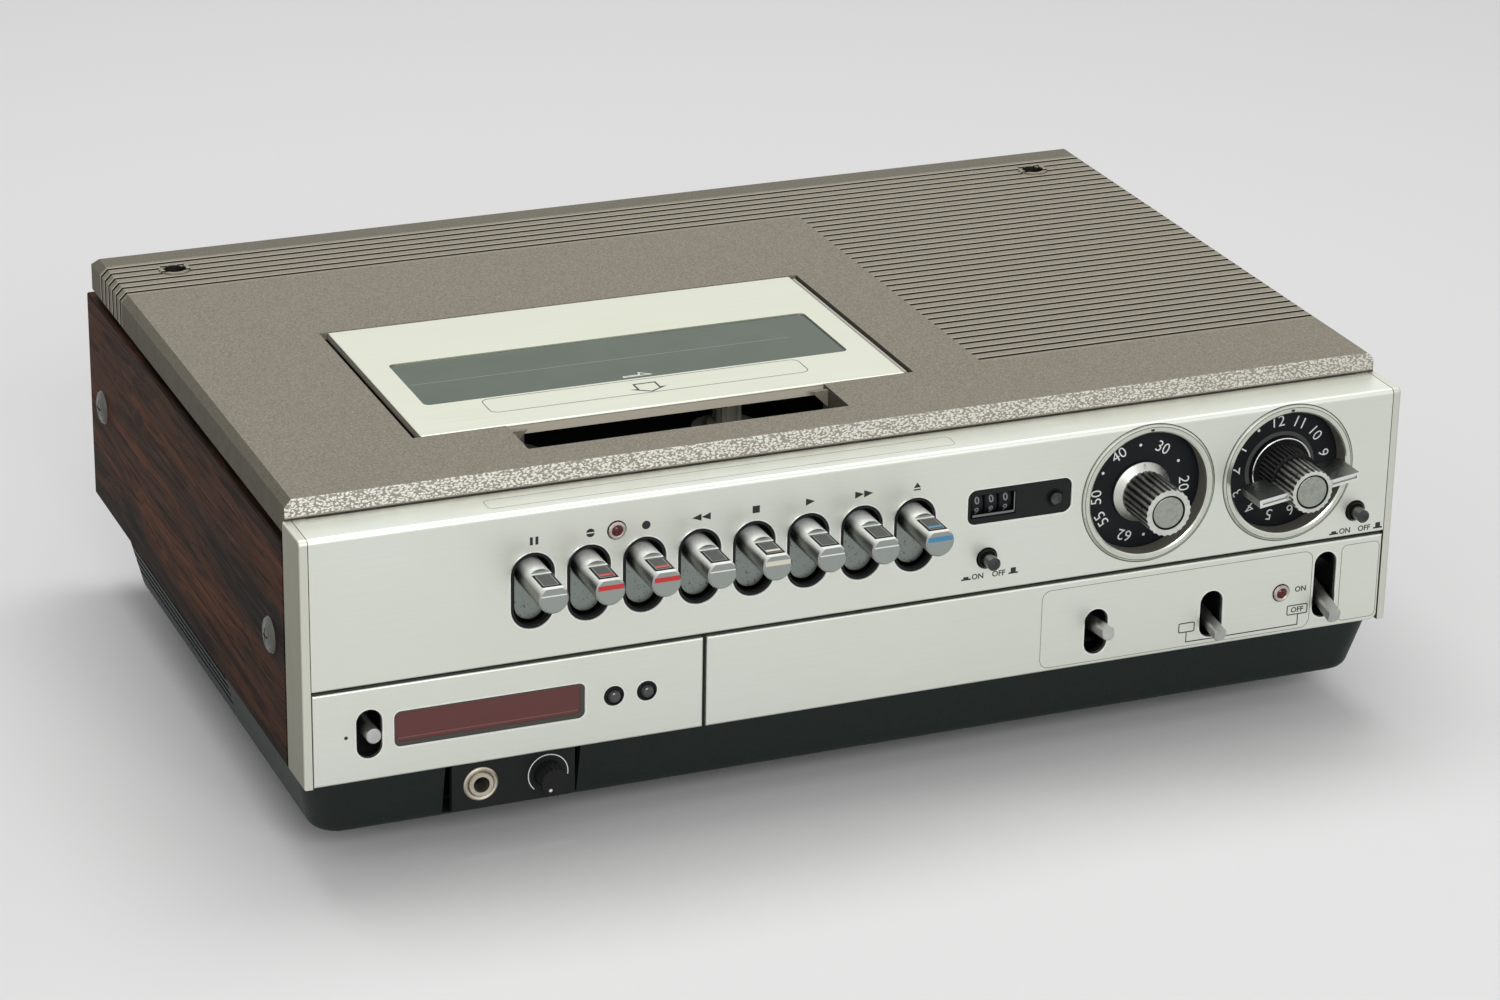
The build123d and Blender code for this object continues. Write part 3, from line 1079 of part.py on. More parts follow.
with BuildPart() as lift_arms_outer:
    for hand in (-1, 1):
        with BuildSketch(side(BAY_X + hand * OUTER_ARM)):
            arm_outline(1)
        extrude(amount=hand * ARM_SHEET)
        # the rear pin slides in the carriage
        with BuildSketch(side(BAY_X + hand * CARRIER_INNER)):
            with Locations((ARM_FOOT_DEPTH + ARM_REACH, ARM_HEAD_HEIGHT)):
                Circle(ARM_PIN)
        extrude(amount=hand * (OUTER_ARM + ARM_SHEET - CARRIER_INNER))
        # the pin at the crossing carries the inner arm
        with BuildSketch(side(BAY_X + hand * INNER_ARM)):
            with Locations((ARM_CROSS_DEPTH, ARM_CROSS_HEIGHT)):
                Circle(ARM_PIN)
        extrude(amount=hand * (OUTER_ARM - INNER_ARM))
    # one cross shaft ties both arms together and turns in the brackets
    half_shaft = BRACKET_FACE + BRACKET_SHEET
    with BuildSketch(side(BAY_X - half_shaft)):
        with Locations((ARM_FOOT_DEPTH, ARM_FOOT_HEIGHT)):
            Circle(ARM_PIN)
    extrude(amount=2 * half_shaft)
save(lift_arms_outer.part, "lift_arms_outer")

with BuildPart() as lift_arms_inner:
    for hand in (-1, 1):
        with BuildSketch(side(BAY_X + hand * INNER_ARM)):
            arm_outline(-1)
            with Locations((ARM_CROSS_DEPTH, ARM_CROSS_HEIGHT)):
                Circle(ARM_PIN + RUN, mode=Mode.SUBTRACT)
        extrude(amount=hand * ARM_SHEET)
        with BuildSketch(side(BAY_X + hand * CARRIER_INNER)):
            with Locations((ARM_FOOT_DEPTH, ARM_HEAD_HEIGHT)):
                Circle(ARM_PIN)
        extrude(amount=hand * (INNER_ARM + ARM_SHEET - CARRIER_INNER))
    # the rear shaft ties both arms together and slides in the brackets
    with BuildSketch(side(BAY_X - half_shaft)):
        with Locations((ARM_FOOT_DEPTH + ARM_REACH, ARM_FOOT_HEIGHT)):
            Circle(ARM_PIN)
    extrude(amount=2 * half_shaft)
save(lift_arms_inner.part, "lift_arms_inner")

with BuildPart() as lift_brackets:
    for hand in (-1, 1):
        with BuildSketch(side(BAY_X + hand * BRACKET_FACE)):
            with Locations(((BRACKET_FRONT + BRACKET_BACK) / 2, (DECK_TOP + BRACKET_TOP) / 2)):
                Rectangle(BRACKET_BACK - BRACKET_FRONT, BRACKET_TOP - DECK_TOP)
            with Locations((ARM_FOOT_DEPTH, ARM_FOOT_HEIGHT)):
                Circle(ARM_PIN + RUN, mode=Mode.SUBTRACT)
            with Locations((ARM_FOOT_DEPTH + (ARM_REACH + ARM_REACH_UP) / 2, ARM_FOOT_HEIGHT)):
                SlotOverall(slot_length, 2 * (ARM_PIN + CARRIER_SLOT_PLAY), mode=Mode.SUBTRACT)
        extrude(amount=hand * BRACKET_SHEET)
        with BuildSketch(level(DECK_TOP)):
            with Locations((BAY_X + hand * (BRACKET_FACE + BRACKET_FOOT / 2 + BRACKET_SHEET),
                            (BRACKET_FRONT + BRACKET_BACK) / 2)):
                Rectangle(BRACKET_FOOT, BRACKET_BACK - BRACKET_FRONT)
        extrude(amount=BRACKET_SHEET)
save(lift_brackets.part, "lift_brackets")

# ============================================================ power transformer
TRANSFORMER_X = HALF_WIDTH - 76.5
TRANSFORMER_DEPTH = 225.0
CORE = (66.0, 40.0, 56.0)
COIL = (48.0, 62.0, 36.0)
COIL_ROUND = 6.0
CORE_EARS = 20.0
with BuildPart() as power_transformer:
    with BuildSketch(level(SHEET)):
        with Locations((TRANSFORMER_X, TRANSFORMER_DEPTH)):
            Rectangle(CORE[0], CORE[1])
            Rectangle(CORE[0] + CORE_EARS, CORE[1] / 3)
    extrude(amount=SHEET)
    with BuildSketch(level(SHEET)):
        with Locations((TRANSFORMER_X, TRANSFORMER_DEPTH)):
            Rectangle(CORE[0], CORE[1])
    extrude(amount=CORE[2])
    with BuildSketch(level(SHEET + (CORE[2] - COIL[2]) / 2)):
        with Locations((TRANSFORMER_X, TRANSFORMER_DEPTH)):
            RectangleRounded(COIL[0], COIL[1], COIL_ROUND)
    extrude(amount=COIL[2])
save(power_transformer.part, "power_transformer")

# ============================================================ transport keys
KEY_TIP_ROUND = 0.6
KEY_BLOCK_BACK = KEY_BLOCK_DEPTH + KEY_BLOCK_THICKNESS
KEY_BLOCK_TOP = KEY_HEIGHT + KEY_RADIUS
KEY_ARM_HEIGHT = 8.0

for name, key_x in zip(KEY_NAMES, KEY_XS):
    with BuildPart() as key:
        # the finger: a round bar with a flat along its top
        with BuildSketch(front(KEY_BLOCK_BACK)):
            with Locations((key_x, KEY_HEIGHT)):
                Circle(KEY_RADIUS)
        extrude(amount=KEY_BLOCK_BACK + KEY_REACH)
        chamfer(key.faces().sort_by(Axis.Y)[0].edges(), KEY_TIP_ROUND)
        with BuildSketch(front(KEY_FLAT_LENGTH - KEY_REACH)):
            with Locations((key_x, KEY_HEIGHT + KEY_FLAT + KEY_RADIUS / 2)):
                Rectangle(3 * KEY_RADIUS, KEY_RADIUS)
        extrude(amount=KEY_FLAT_LENGTH + KEY_RADIUS, mode=Mode.SUBTRACT)
        # shallow recess of the finger pad
        with BuildSketch(level(KEY_HEIGHT + KEY_FLAT)):
            with Locations((key_x, KEY_PAD_INSET + KEY_PAD[1] / 2 - KEY_REACH)):
                Rectangle(*KEY_PAD)
        extrude(amount=-KEY_PAD_DEPTH, mode=Mode.SUBTRACT)
        # the block that fills the slot behind the panel
        with BuildSketch(front(KEY_BLOCK_BACK)):
            with Locations((key_x, (KEY_BLOCK_BOTTOM + KEY_BLOCK_TOP) / 2)):
                SlotOverall(KEY_BLOCK_TOP - KEY_BLOCK_BOTTOM, 2 * KEY_RADIUS, rotation=90)
        extrude(amount=KEY_BLOCK_THICKNESS)
        # arm and hub
        with BuildSketch(side(key_x - KEY_ARM_WIDTH / 2)):
            with Locations(((KEY_BLOCK_BACK + KEY_PIVOT_DEPTH) / 2, KEY_PIVOT_HEIGHT)):
                Rectangle(KEY_PIVOT_DEPTH - KEY_BLOCK_BACK, KEY_ARM_HEIGHT)
        extrude(amount=KEY_ARM_WIDTH)
        with BuildSketch(side(key_x - KEY_HUB_WIDTH / 2)):
            with Locations((KEY_PIVOT_DEPTH, KEY_PIVOT_HEIGHT)):
                Circle(KEY_HUB_RADIUS)
        extrude(amount=KEY_HUB_WIDTH)
        with BuildSketch(side(key_x - KEY_HUB_WIDTH)):
            with Locations((KEY_PIVOT_DEPTH, KEY_PIVOT_HEIGHT)):
                Circle(KEY_SHAFT_RADIUS + RUN)
        extrude(amount=2 * KEY_HUB_WIDTH, mode=Mode.SUBTRACT)
    save(key.part, f"key_{name}")

ESCUTCHEON = (KEY_WINDOW[0] + FIT, KEY_WINDOW[1] - FIT, 48.0, KEY_WINDOW[3] - FIT)
ESCUTCHEON_SHEET = 1.5
RIM_FRONT = 0.3
RIM_WALL = 0.9
SLOT_PLAY = 0.2
with BuildPart() as key_escutcheon:
    with BuildSketch(front(PANEL_SHEET + ESCUTCHEON_SHEET)):
        with Locations(((ESCUTCHEON[0] + ESCUTCHEON[1]) / 2, (ESCUTCHEON[2] + ESCUTCHEON[3]) / 2)):
            Rectangle(ESCUTCHEON[1] - ESCUTCHEON[0], ESCUTCHEON[3] - ESCUTCHEON[2])
    extrude(amount=ESCUTCHEON_SHEET)
    with BuildSketch(front(PANEL_SHEET)):
        for key_x in KEY_XS:
            with Locations((key_x, SLOT_MIDDLE)):
                SlotOverall(SLOT_HEIGHT - 2 * SLOT_PLAY, SLOT_WIDTH - 2 * SLOT_PLAY, rotation=90)
    extrude(amount=PANEL_SHEET - RIM_FRONT)
    with BuildSketch(front(PANEL_SHEET + ESCUTCHEON_SHEET)):
        for key_x in KEY_XS:
            with Locations((key_x, SLOT_MIDDLE)):
                SlotOverall(SLOT_HEIGHT - 2 * (SLOT_PLAY + RIM_WALL),
                            SLOT_WIDTH - 2 * (SLOT_PLAY + RIM_WALL), rotation=90)
    extrude(amount=2 * PANEL_SHEET + ESCUTCHEON_SHEET, mode=Mode.SUBTRACT)
save(key_escutcheon.part, "key_escutcheon")

BAR_BOTTOM = 48.0
BAR_ENDS = (KEY_XS[0] - 11.0, KEY_XS[-1] + 11.0)
BAR_EAR = 2.0
SPACER_RADIUS = 4.0
SPACER_LENGTH = KEY_PITCH - KEY_HUB_WIDTH - 2 * FIT
EAR_FRONT = 58.0
with BuildPart() as key_bracket:
    with BuildSketch(front(DECK_FRONT)):
        with Locations(((BAR_ENDS[0] + BAR_ENDS[1]) / 2, (BAR_BOTTOM + DECK_TOP) / 2)):
            Rectangle(BAR_ENDS[1] - BAR_ENDS[0] + 2 * BAR_EAR, DECK_TOP - BAR_BOTTOM)
    extrude(amount=SHEET)
    for edge_x, hand in ((BAR_ENDS[0], -1), (BAR_ENDS[1], 1)):
        with BuildSketch(side(edge_x)):
            with Locations(((EAR_FRONT + DECK_FRONT) / 2, (BAR_BOTTOM + DECK_TOP) / 2)):
                Rectangle(DECK_FRONT - EAR_FRONT, DECK_TOP - BAR_BOTTOM)
        extrude(amount=hand * BAR_EAR)
    with BuildSketch(side(BAR_ENDS[0])):
        with Locations((KEY_PIVOT_DEPTH, KEY_PIVOT_HEIGHT)):
            Circle(KEY_SHAFT_RADIUS)
    extrude(amount=BAR_ENDS[1] - BAR_ENDS[0])
    for key_x in KEY_XS[:-1]:
        with BuildSketch(side(key_x + KEY_HUB_WIDTH / 2 + FIT)):
            with Locations((KEY_PIVOT_DEPTH, KEY_PIVOT_HEIGHT)):
                Circle(SPACER_RADIUS)
        extrude(amount=SPACER_LENGTH)
save(key_bracket.part, "key_bracket")

# ============================================================ dial rings, dials and tuner knobs
BEZEL_LAND = 0.6
with BuildPart() as dial_rings:
    for ring_x in (UHF_AXIS[0], VHF_AXIS[0]):
        with BuildSketch(lathe(ring_x, BEZEL_HEIGHT)):
            with BuildLine():
                Polyline((BEZEL_BORE, BEZEL_DEPTH), (BEZEL_BORE, -BEZEL_RIM * 0.5),
                         (BEZEL_BORE + BEZEL_LAND, -BEZEL_RIM), (BEZEL_RADIUS - BEZEL_LAND, -BEZEL_RIM),
                         (BEZEL_RADIUS, -BEZEL_RIM * 0.4), (BEZEL_RADIUS, 0), (BEZEL_TUBE, 0),
                         (BEZEL_TUBE, BEZEL_DEPTH), close=True)
            make_face()
        revolve(axis=spindle(ring_x, BEZEL_HEIGHT))
save(dial_rings.part, "dial_rings")

DIAL_HUB = 4.0
for name, (axis_x, axis_height) in (("uhf_dial", UHF_AXIS), ("vhf_dial", VHF_AXIS)):
    with BuildPart() as dial:
        with BuildSketch(lathe(axis_x, axis_height)):
            with Locations(((DIAL_RADIUS + TUNER_SHAFT) / 2, DIAL_DEPTH + DIAL_SHEET / 2)):
                Rectangle(DIAL_RADIUS - TUNER_SHAFT, DIAL_SHEET)
            with Locations((TUNER_SHAFT + DIAL_HUB / 2, DIAL_DEPTH + DIAL_HUB / 2)):
                Rectangle(DIAL_HUB, DIAL_HUB)
        revolve(axis=spindle(axis_x, axis_height))
    save(dial.part, name)

SHAFT_END = TUNER_FACE + 12.0
SKIRT_RADIUS = 12.3
SKIRT_BACK = DIAL_DEPTH - 0.8
KNOB_RADIUS = 9.6
KNOB_CAP = 7.1
CAP_RECESS = 0.6
FLUTE_DEPTH = 0.45
KNOB_EDGE = 0.6


def fluted(radius, count=FLUTES):
    """Corner points of a fluted outline, two per flute."""
    points = []
    for index in range(2 * count):
        angle = math.pi * index / count
        reach = radius if index % 2 else radius - FLUTE_DEPTH
        points.append((reach * math.cos(angle), reach * math.sin(angle)))
    return points


def around(x, height, points):
    """The same points about a spindle."""
    return [(x + across, height + up) for across, up in points]


SKIRT_EDGE = 0.8
SKIRT_RISE = 3.0
KNOB_WALL = 1.0
KNOB_SUNK = 0.4
INDEX_MARK = (1.2, 2.0)
x, height = UHF_AXIS
with BuildPart() as uhf_knob:
    with BuildSketch(lathe(x, height)):
        with BuildLine():
            Polyline((0, SHAFT_END), (TUNER_SHAFT, SHAFT_END), (TUNER_SHAFT, SKIRT_BACK),
                     (SKIRT_RADIUS, SKIRT_BACK), (SKIRT_RADIUS, SKIRT_BACK - SKIRT_EDGE),
                     (KNOB_RADIUS, SKIRT_BACK - SKIRT_RISE), (KNOB_RADIUS - KNOB_WALL, SKIRT_BACK - SKIRT_RISE),
                     (KNOB_RADIUS - KNOB_WALL, 0), (0, 0), close=True)
        make_face()
    revolve(axis=spindle(x, height))
    flutes_back = SKIRT_BACK - SKIRT_RISE + KNOB_SUNK
    with BuildSketch(front(flutes_back)):
        Polygon(*around(x, height, fluted(KNOB_RADIUS)), align=None)
    extrude(amount=flutes_back + UHF_TIP)
    with BuildSketch(front(-UHF_TIP)):
        with Locations((x, height)):
            Circle(KNOB_CAP)
    extrude(amount=-CAP_RECESS, mode=Mode.SUBTRACT)
    # index mark cut in the skirt
    with BuildSketch(front(0)):
        with Locations((x, height + SKIRT_RADIUS - INDEX_MARK[1] / 2)):
            Rectangle(*INDEX_MARK)
    extrude(amount=-(SKIRT_BACK - INDEX_MARK[0]), mode=Mode.SUBTRACT)
save(uhf_knob.part, "uhf_knob")

TUNER_RING = 13.3
TUNER_RING_BACK = DIAL_DEPTH - 0.5
TUNER_RING_FRONT = TUNER_RING_BACK - 1.6
TUNER_SLEEVE = 10.4
TUNER_SLEEVE_FRONT = -5.5
TUNER_LIP = 0.8
TUNER_COLLAR = 1.0
x, height = VHF_AXIS
with BuildPart() as vhf_fine_tuner:
    with BuildSketch(lathe(x, height)):
        with Locations(((TUNER_RING + TUNER_SHAFT + RUN) / 2, (TUNER_RING_BACK + TUNER_RING_FRONT) / 2)):
            Rectangle(TUNER_RING - TUNER_SHAFT - RUN, TUNER_RING_BACK - TUNER_RING_FRONT)
    revolve(axis=spindle(x, height))
    with BuildSketch(front(TUNER_RING_FRONT)):
        Polygon(*around(x, height, fluted(TUNER_SLEEVE, 36)), align=None)
        with Locations((x, height)):
            Circle(TUNER_SHAFT + RUN, mode=Mode.SUBTRACT)
    extrude(amount=TUNER_RING_FRONT - TUNER_SLEEVE_FRONT - TUNER_LIP)
    with BuildSketch(lathe(x, height)):
        with Locations(((TUNER_SLEEVE + TUNER_SHAFT + RUN) / 2, TUNER_SLEEVE_FRONT + TUNER_COLLAR / 2)):
            Rectangle(TUNER_SLEEVE - TUNER_SHAFT - RUN, TUNER_COLLAR)
    revolve(axis=spindle(x, height))
save(vhf_fine_tuner.part, "vhf_fine_tuner")

WING_REACH = 22.0
WING_INNER_REACH = 6.0
WING_THICKNESS = 3.3
WING_BACK_DEPTH = -2.0
WING_FRONT_DEPTH = -18.0
WING_TILT = 8.0
VHF_RADIUS = 8.9
VHF_BACK = TUNER_SLEEVE_FRONT - 0.4
with BuildPart() as vhf_knob:
    with BuildSketch(lathe(x, height)):
        with Locations((TUNER_SHAFT / 2, (SHAFT_END + VHF_BACK) / 2)):
            Rectangle(TUNER_SHAFT, SHAFT_END - VHF_BACK)
    revolve(axis=spindle(x, height))
    with BuildSketch(front(VHF_BACK)):
        Polygon(*around(x, height, fluted(VHF_RADIUS)), align=None)
    extrude(amount=VHF_TIP + VHF_BACK)
    # two wing blades, lying front to back and tilted a little
    with BuildSketch(front(VHF_BACK)):
        with Locations(Location((x, height, 0), (0, 0, WING_TILT))):
            Rectangle(2 * WING_REACH, WING_THICKNESS)
    extrude(amount=VHF_BACK - WING_FRONT_DEPTH)
    # the blades run back beside the fine tuner, clear of its sleeve
    with BuildSketch(front(WING_BACK_DEPTH)):
        for hand in (-1, 1):
            reach = (WING_REACH + TUNER_SLEEVE + 1.0) / 2
            tilt = math.radians(WING_TILT)
            with Locations(Location((x + hand * reach * math.cos(tilt),
                                     height + hand * reach * math.sin(tilt), 0), (0, 0, WING_TILT))):
                Rectangle(WING_REACH - TUNER_SLEEVE - 1.0, WING_THICKNESS)
    extrude(amount=WING_BACK_DEPTH - VHF_BACK)
    with BuildSketch(front(-VHF_TIP)):
        with Locations((x, height)):
            Circle(KNOB_CAP)
    extrude(amount=-CAP_RECESS, mode=Mode.SUBTRACT)
    # groove along the front edge of the blades
    with BuildSketch(front(WING_FRONT_DEPTH)):
        for hand in (-1, 1):
            reach = (WING_REACH + VHF_RADIUS) / 2
            with Locations(Location((x + hand * reach * math.cos(tilt),
                                     height + hand * reach * math.sin(tilt), 0), (0, 0, WING_TILT))):
                Rectangle(WING_REACH - VHF_RADIUS - 2.4, WING_THICKNESS / 3)
    extrude(amount=-0.6, mode=Mode.SUBTRACT)
save(vhf_knob.part, "vhf_knob")

TUNER_PLATE = (UHF_AXIS[0] - 28.4, VHF_AXIS[0] + 25.5, 39.0, 94.0)
TUNER_STUD_INSET = 4.0
STUD_LEFT = TUNER_PLATE[0] + TUNER_STUD_INSET - 0.8
STUD_MIDDLE = (UHF_AXIS[0] + VHF_AXIS[0]) / 2
STUD_RIGHT = TUNER_PLATE[1] - TUNER_STUD_INSET + 1.0
STUD_LOW = TUNER_PLATE[2] + TUNER_STUD_INSET
STUD_HIGH = TUNER_PLATE[3] - TUNER_STUD_INSET
TUNER_STUDS = ((STUD_LEFT, STUD_LOW), (STUD_LEFT, STUD_HIGH), (STUD_MIDDLE, STUD_LOW),
               (STUD_MIDDLE, STUD_HIGH), (STUD_RIGHT, STUD_HIGH))
TUNER_STUD = 2.6
with BuildPart() as tuners:
    with BuildSketch(front(TUNER_FACE)):
        with Locations(((TUNER_PLATE[0] + TUNER_PLATE[1]) / 2, (TUNER_PLATE[2] + TUNER_PLATE[3]) / 2)):
            Rectangle(TUNER_PLATE[1] - TUNER_PLATE[0], TUNER_PLATE[3] - TUNER_PLATE[2])
    extrude(amount=PANEL_SHEET)
    with BuildSketch(front(TUNER_FACE)):
        with Locations(*TUNER_STUDS):
            Circle(TUNER_STUD)
    extrude(amount=TUNER_FACE - FRAME_BACK)
    with BuildSketch(front(TUNER_FACE)):
        for axis_x, axis_height in (UHF_AXIS, VHF_AXIS):
            with Locations((axis_x, axis_height - 4.0)):
                Rectangle(TUNER_BLOCK[0], TUNER_BLOCK[1] - 8.0)
    extrude(amount=-TUNER_BLOCK[2])
    with BuildSketch(front(TUNER_FACE - PANEL_SHEET)):
        for axis in (UHF_AXIS, VHF_AXIS):
            with Locations(axis):
                Circle(TUNER_SHAFT + RUN)
    extrude(amount=-(SHAFT_END + 1.0 - TUNER_FACE + PANEL_SHEET), mode=Mode.SUBTRACT)
save(tuners.part, "tuners")

# ============================================================ tape counter
HOUSING_FRONT = FRAME_BACK
WINDOW_X = (WHEEL_FIRST_X + WHEEL_PITCH)
with BuildPart() as counter_frame:
    with BuildSketch(front(HOUSING_FRONT)):
        with Locations((COUNTER_X, COUNTER_HEIGHT)):
            RectangleRounded(COUNTER_SIZE[0] - 2 * FIT, COUNTER_SIZE[1] - 2 * FIT, COUNTER_ROUND - FIT)
    extrude(amount=HOUSING_FRONT - COUNTER_FACE)
    with BuildSketch(front(COUNTER_DEPTH)):
        with Locations((COUNTER_X, COUNTER_HEIGHT)):
            Rectangle(*COUNTER_HOUSING)
    extrude(amount=COUNTER_DEPTH - HOUSING_FRONT)
    # hollow behind the face
    with BuildSketch(front(HOUSING_FRONT)):
        with Locations((COUNTER_X, COUNTER_HEIGHT)):
            Rectangle(COUNTER_SIZE[0] - 2 * FIT - 2 * COUNTER_WALL,
                      COUNTER_SIZE[1] - 2 * FIT - 2 * COUNTER_WALL)
    extrude(amount=HOUSING_FRONT - COUNTER_FACE - COUNTER_WALL, mode=Mode.SUBTRACT)
    with BuildSketch(front(COUNTER_DEPTH)):
        with Locations((COUNTER_X, COUNTER_HEIGHT)):
            Rectangle(COUNTER_SIZE[0] - 2 * FIT - 2 * COUNTER_WALL,
                      COUNTER_HOUSING[1] - 2 * COUNTER_WALL)
    extrude(amount=COUNTER_DEPTH - HOUSING_FRONT, mode=Mode.SUBTRACT)
    # window and button hole
    with BuildSketch(front(HOUSING_FRONT)):
        with Locations((WINDOW_X, COUNTER_HEIGHT)):
            Rectangle(*COUNTER_WINDOW)
        with Locations((RESET_X, RESET_HEIGHT)):
            Circle(RESET_RADIUS + RUN)
    extrude(amount=HOUSING_FRONT, mode=Mode.SUBTRACT)
    # wheel pin and the wall that holds its far end
    wheel_wall = WINDOW_X + 1.5 * WHEEL_PITCH + 1.0
    with BuildSketch(front(COUNTER_DEPTH)):
        with Locations((wheel_wall + COUNTER_WALL / 2, COUNTER_HEIGHT)):
            Rectangle(COUNTER_WALL, COUNTER_HOUSING[1])
    extrude(amount=COUNTER_DEPTH - HOUSING_FRONT - 1.0)
    with BuildSketch(side(COUNTER_X - COUNTER_HOUSING[0] / 2)):
        with Locations((WHEEL_DEPTH, COUNTER_HEIGHT)):
            Circle(WHEEL_PIN)
    extrude(amount=wheel_wall + COUNTER_WALL - COUNTER_X + COUNTER_HOUSING[0] / 2)
save(counter_frame.part, "counter_frame")

WHEEL_EDGE = 0.4
for index, name in enumerate(WHEEL_NAMES):
    wheel_x = WHEEL_FIRST_X + WHEEL_PITCH * index
    with BuildPart() as wheel:
        with BuildSketch(side(wheel_x - WHEEL_WIDTH / 2)):
            with Locations((WHEEL_DEPTH, COUNTER_HEIGHT)):
                Circle(WHEEL_RADIUS)
        extrude(amount=WHEEL_WIDTH)
        chamfer(wheel.edges().filter_by(GeomType.CIRCLE), WHEEL_EDGE)
        with BuildSketch(side(wheel_x - WHEEL_WIDTH)):
            with Locations((WHEEL_DEPTH, COUNTER_HEIGHT)):
                Circle(WHEEL_PIN + RUN)
        extrude(amount=2 * WHEEL_WIDTH, mode=Mode.SUBTRACT)
    save(wheel.part, f"counter_{name}")

RESET_PROUD = 1.6
RESET_HEAD = 3.6
RESET_HEAD_THICKNESS = 1.2
with BuildPart() as counter_reset:
    with BuildSketch(lathe(RESET_X, RESET_HEIGHT)):
        with BuildLine():
            reset_back = COUNTER_FACE + COUNTER_WALL
            Polyline((0, -RESET_PROUD), (RESET_RADIUS - 0.4, -RESET_PROUD),
                     (RESET_RADIUS, 0.4 - RESET_PROUD), (RESET_RADIUS, reset_back),
                     (RESET_HEAD, reset_back), (RESET_HEAD, reset_back + RESET_HEAD_THICKNESS),
                     (0, reset_back + RESET_HEAD_THICKNESS), close=True)
        make_face()
    revolve(axis=spindle(RESET_X, RESET_HEIGHT))
save(counter_reset.part, "counter_reset")

# ============================================================ small push buttons and lamps
BUTTON_EDGE = 0.5
BUTTON_FOOT = 1.5
for name, (x, height, reach) in BUTTONS.items():
    with BuildPart() as button:
        with BuildSketch(lathe(x, height)):
            with BuildLine():
                Polyline((0, -reach), (BUTTON_RADIUS - BUTTON_EDGE, -reach),
                         (BUTTON_RADIUS, BUTTON_EDGE - reach), (BUTTON_RADIUS, BUTTON_SLEEVE),
                         (BUTTON_HEAD, BUTTON_SLEEVE), (BUTTON_HEAD, BUTTON_SLEEVE + BUTTON_FOOT),
                         (0, BUTTON_SLEEVE + BUTTON_FOOT), close=True)
            make_face()
        revolve(axis=spindle(x, height))
    save(button.part, name)

LAMP_BACK = 9.0
LAMP_SHOULDER = 0.6
LAMP_DOME = 1.2
LAMP_TIP = 1.4
with BuildPart() as indicator_lamps:
    for x, height in LAMPS:
        with BuildSketch(lathe(x, height)):
            with BuildLine():
                Polyline((0, LAMP_BACK), (LAMP_RADIUS, LAMP_BACK), (LAMP_RADIUS, -LAMP_SHOULDER))
                Spline((LAMP_RADIUS, -LAMP_SHOULDER), (LAMP_RADIUS * 0.6, -LAMP_DOME), (0, -LAMP_TIP))
                Line((0, -LAMP_TIP), (0, LAMP_BACK))
            make_face()
        revolve(axis=spindle(x, height))
        with BuildSketch(front(LAMP_BACK)):
            with Locations((x, height)):
                Circle(LAMP_RING)
        extrude(amount=LAMP_BACK - FRAME_BACK)
save(indicator_lamps.part, "indicator_lamps")

PANE_FACE = 0.6
with BuildPart() as timer_window:
    with BuildSketch(front(PANEL_SHEET)):
        with Locations((CLOCK_X, CLOCK_HEIGHT)):
            RectangleRounded(CLOCK_SIZE[0] - FIT, CLOCK_SIZE[1] - FIT, CLOCK_ROUND - FIT / 2)
    extrude(amount=PANEL_SHEET - PANE_FACE)
save(timer_window.part, "timer_window")

# ============================================================ levers
LEVER_TIP_EDGE = 0.3
LEVER_FLAT_RUN = 13.0
LEVER_FLAT_START = 0.1
LEVER_FLAT_OVER = 1.0
for name, (x, middle, _, tilt, length, blade) in LEVERS.items():
    lean = math.radians(tilt)
    pivot = (x, FRONT_Y + LEVER_PIVOT_DEPTH, PANEL_Z + middle)
    outward = (0, -math.cos(lean), math.sin(lean))
    rise = (0, math.sin(lean), math.cos(lean))
    with BuildPart() as lever:
        with BuildSketch(Plane(origin=pivot, x_dir=(1, 0, 0), z_dir=outward)):
            Circle(blade / 2)
        extrude(amount=length)
        chamfer(lever.faces().sort_by(Axis.Y)[0].edges(), LEVER_TIP_EDGE)
        # flats that deepen towards the tip: one on top, one on each side
        if name != "timer_select_lever":
            start = length - LEVER_FLAT_RUN
            with BuildSketch(Plane(origin=pivot, x_dir=outward, z_dir=(1, 0, 0))):
                Polygon((start, -blade / 2 - LEVER_FLAT_START), (length, -blade / 2 + LEVER_TOP_CUT),
                        (length, -blade / 2 - LEVER_FLAT_OVER), align=None)
            extrude(amount=blade, both=True, mode=Mode.SUBTRACT)
            with BuildSketch(Plane(origin=pivot, x_dir=(1, 0, 0), z_dir=rise)):
                for hand in (-1, 1):
                    Polygon((hand * (blade / 2 + LEVER_FLAT_START), -start),
                            (hand * LEVER_WIDTH / 2, -length),
                            (hand * (blade / 2 + LEVER_FLAT_OVER), -length), align=None)
            extrude(amount=blade, both=True, mode=Mode.SUBTRACT)
        with BuildSketch(side(x - LEVER_HUB_HALF)):
            with Locations((LEVER_PIVOT_DEPTH, middle)):
                Circle(LEVER_HUB)
        extrude(amount=2 * LEVER_HUB_HALF)
        with BuildSketch(side(x - 2 * LEVER_HUB_HALF)):
            with Locations((LEVER_PIVOT_DEPTH, middle)):
                Circle(LEVER_PIN + RUN)
        extrude(amount=4 * LEVER_HUB_HALF, mode=Mode.SUBTRACT)
    save(lever.part, name)

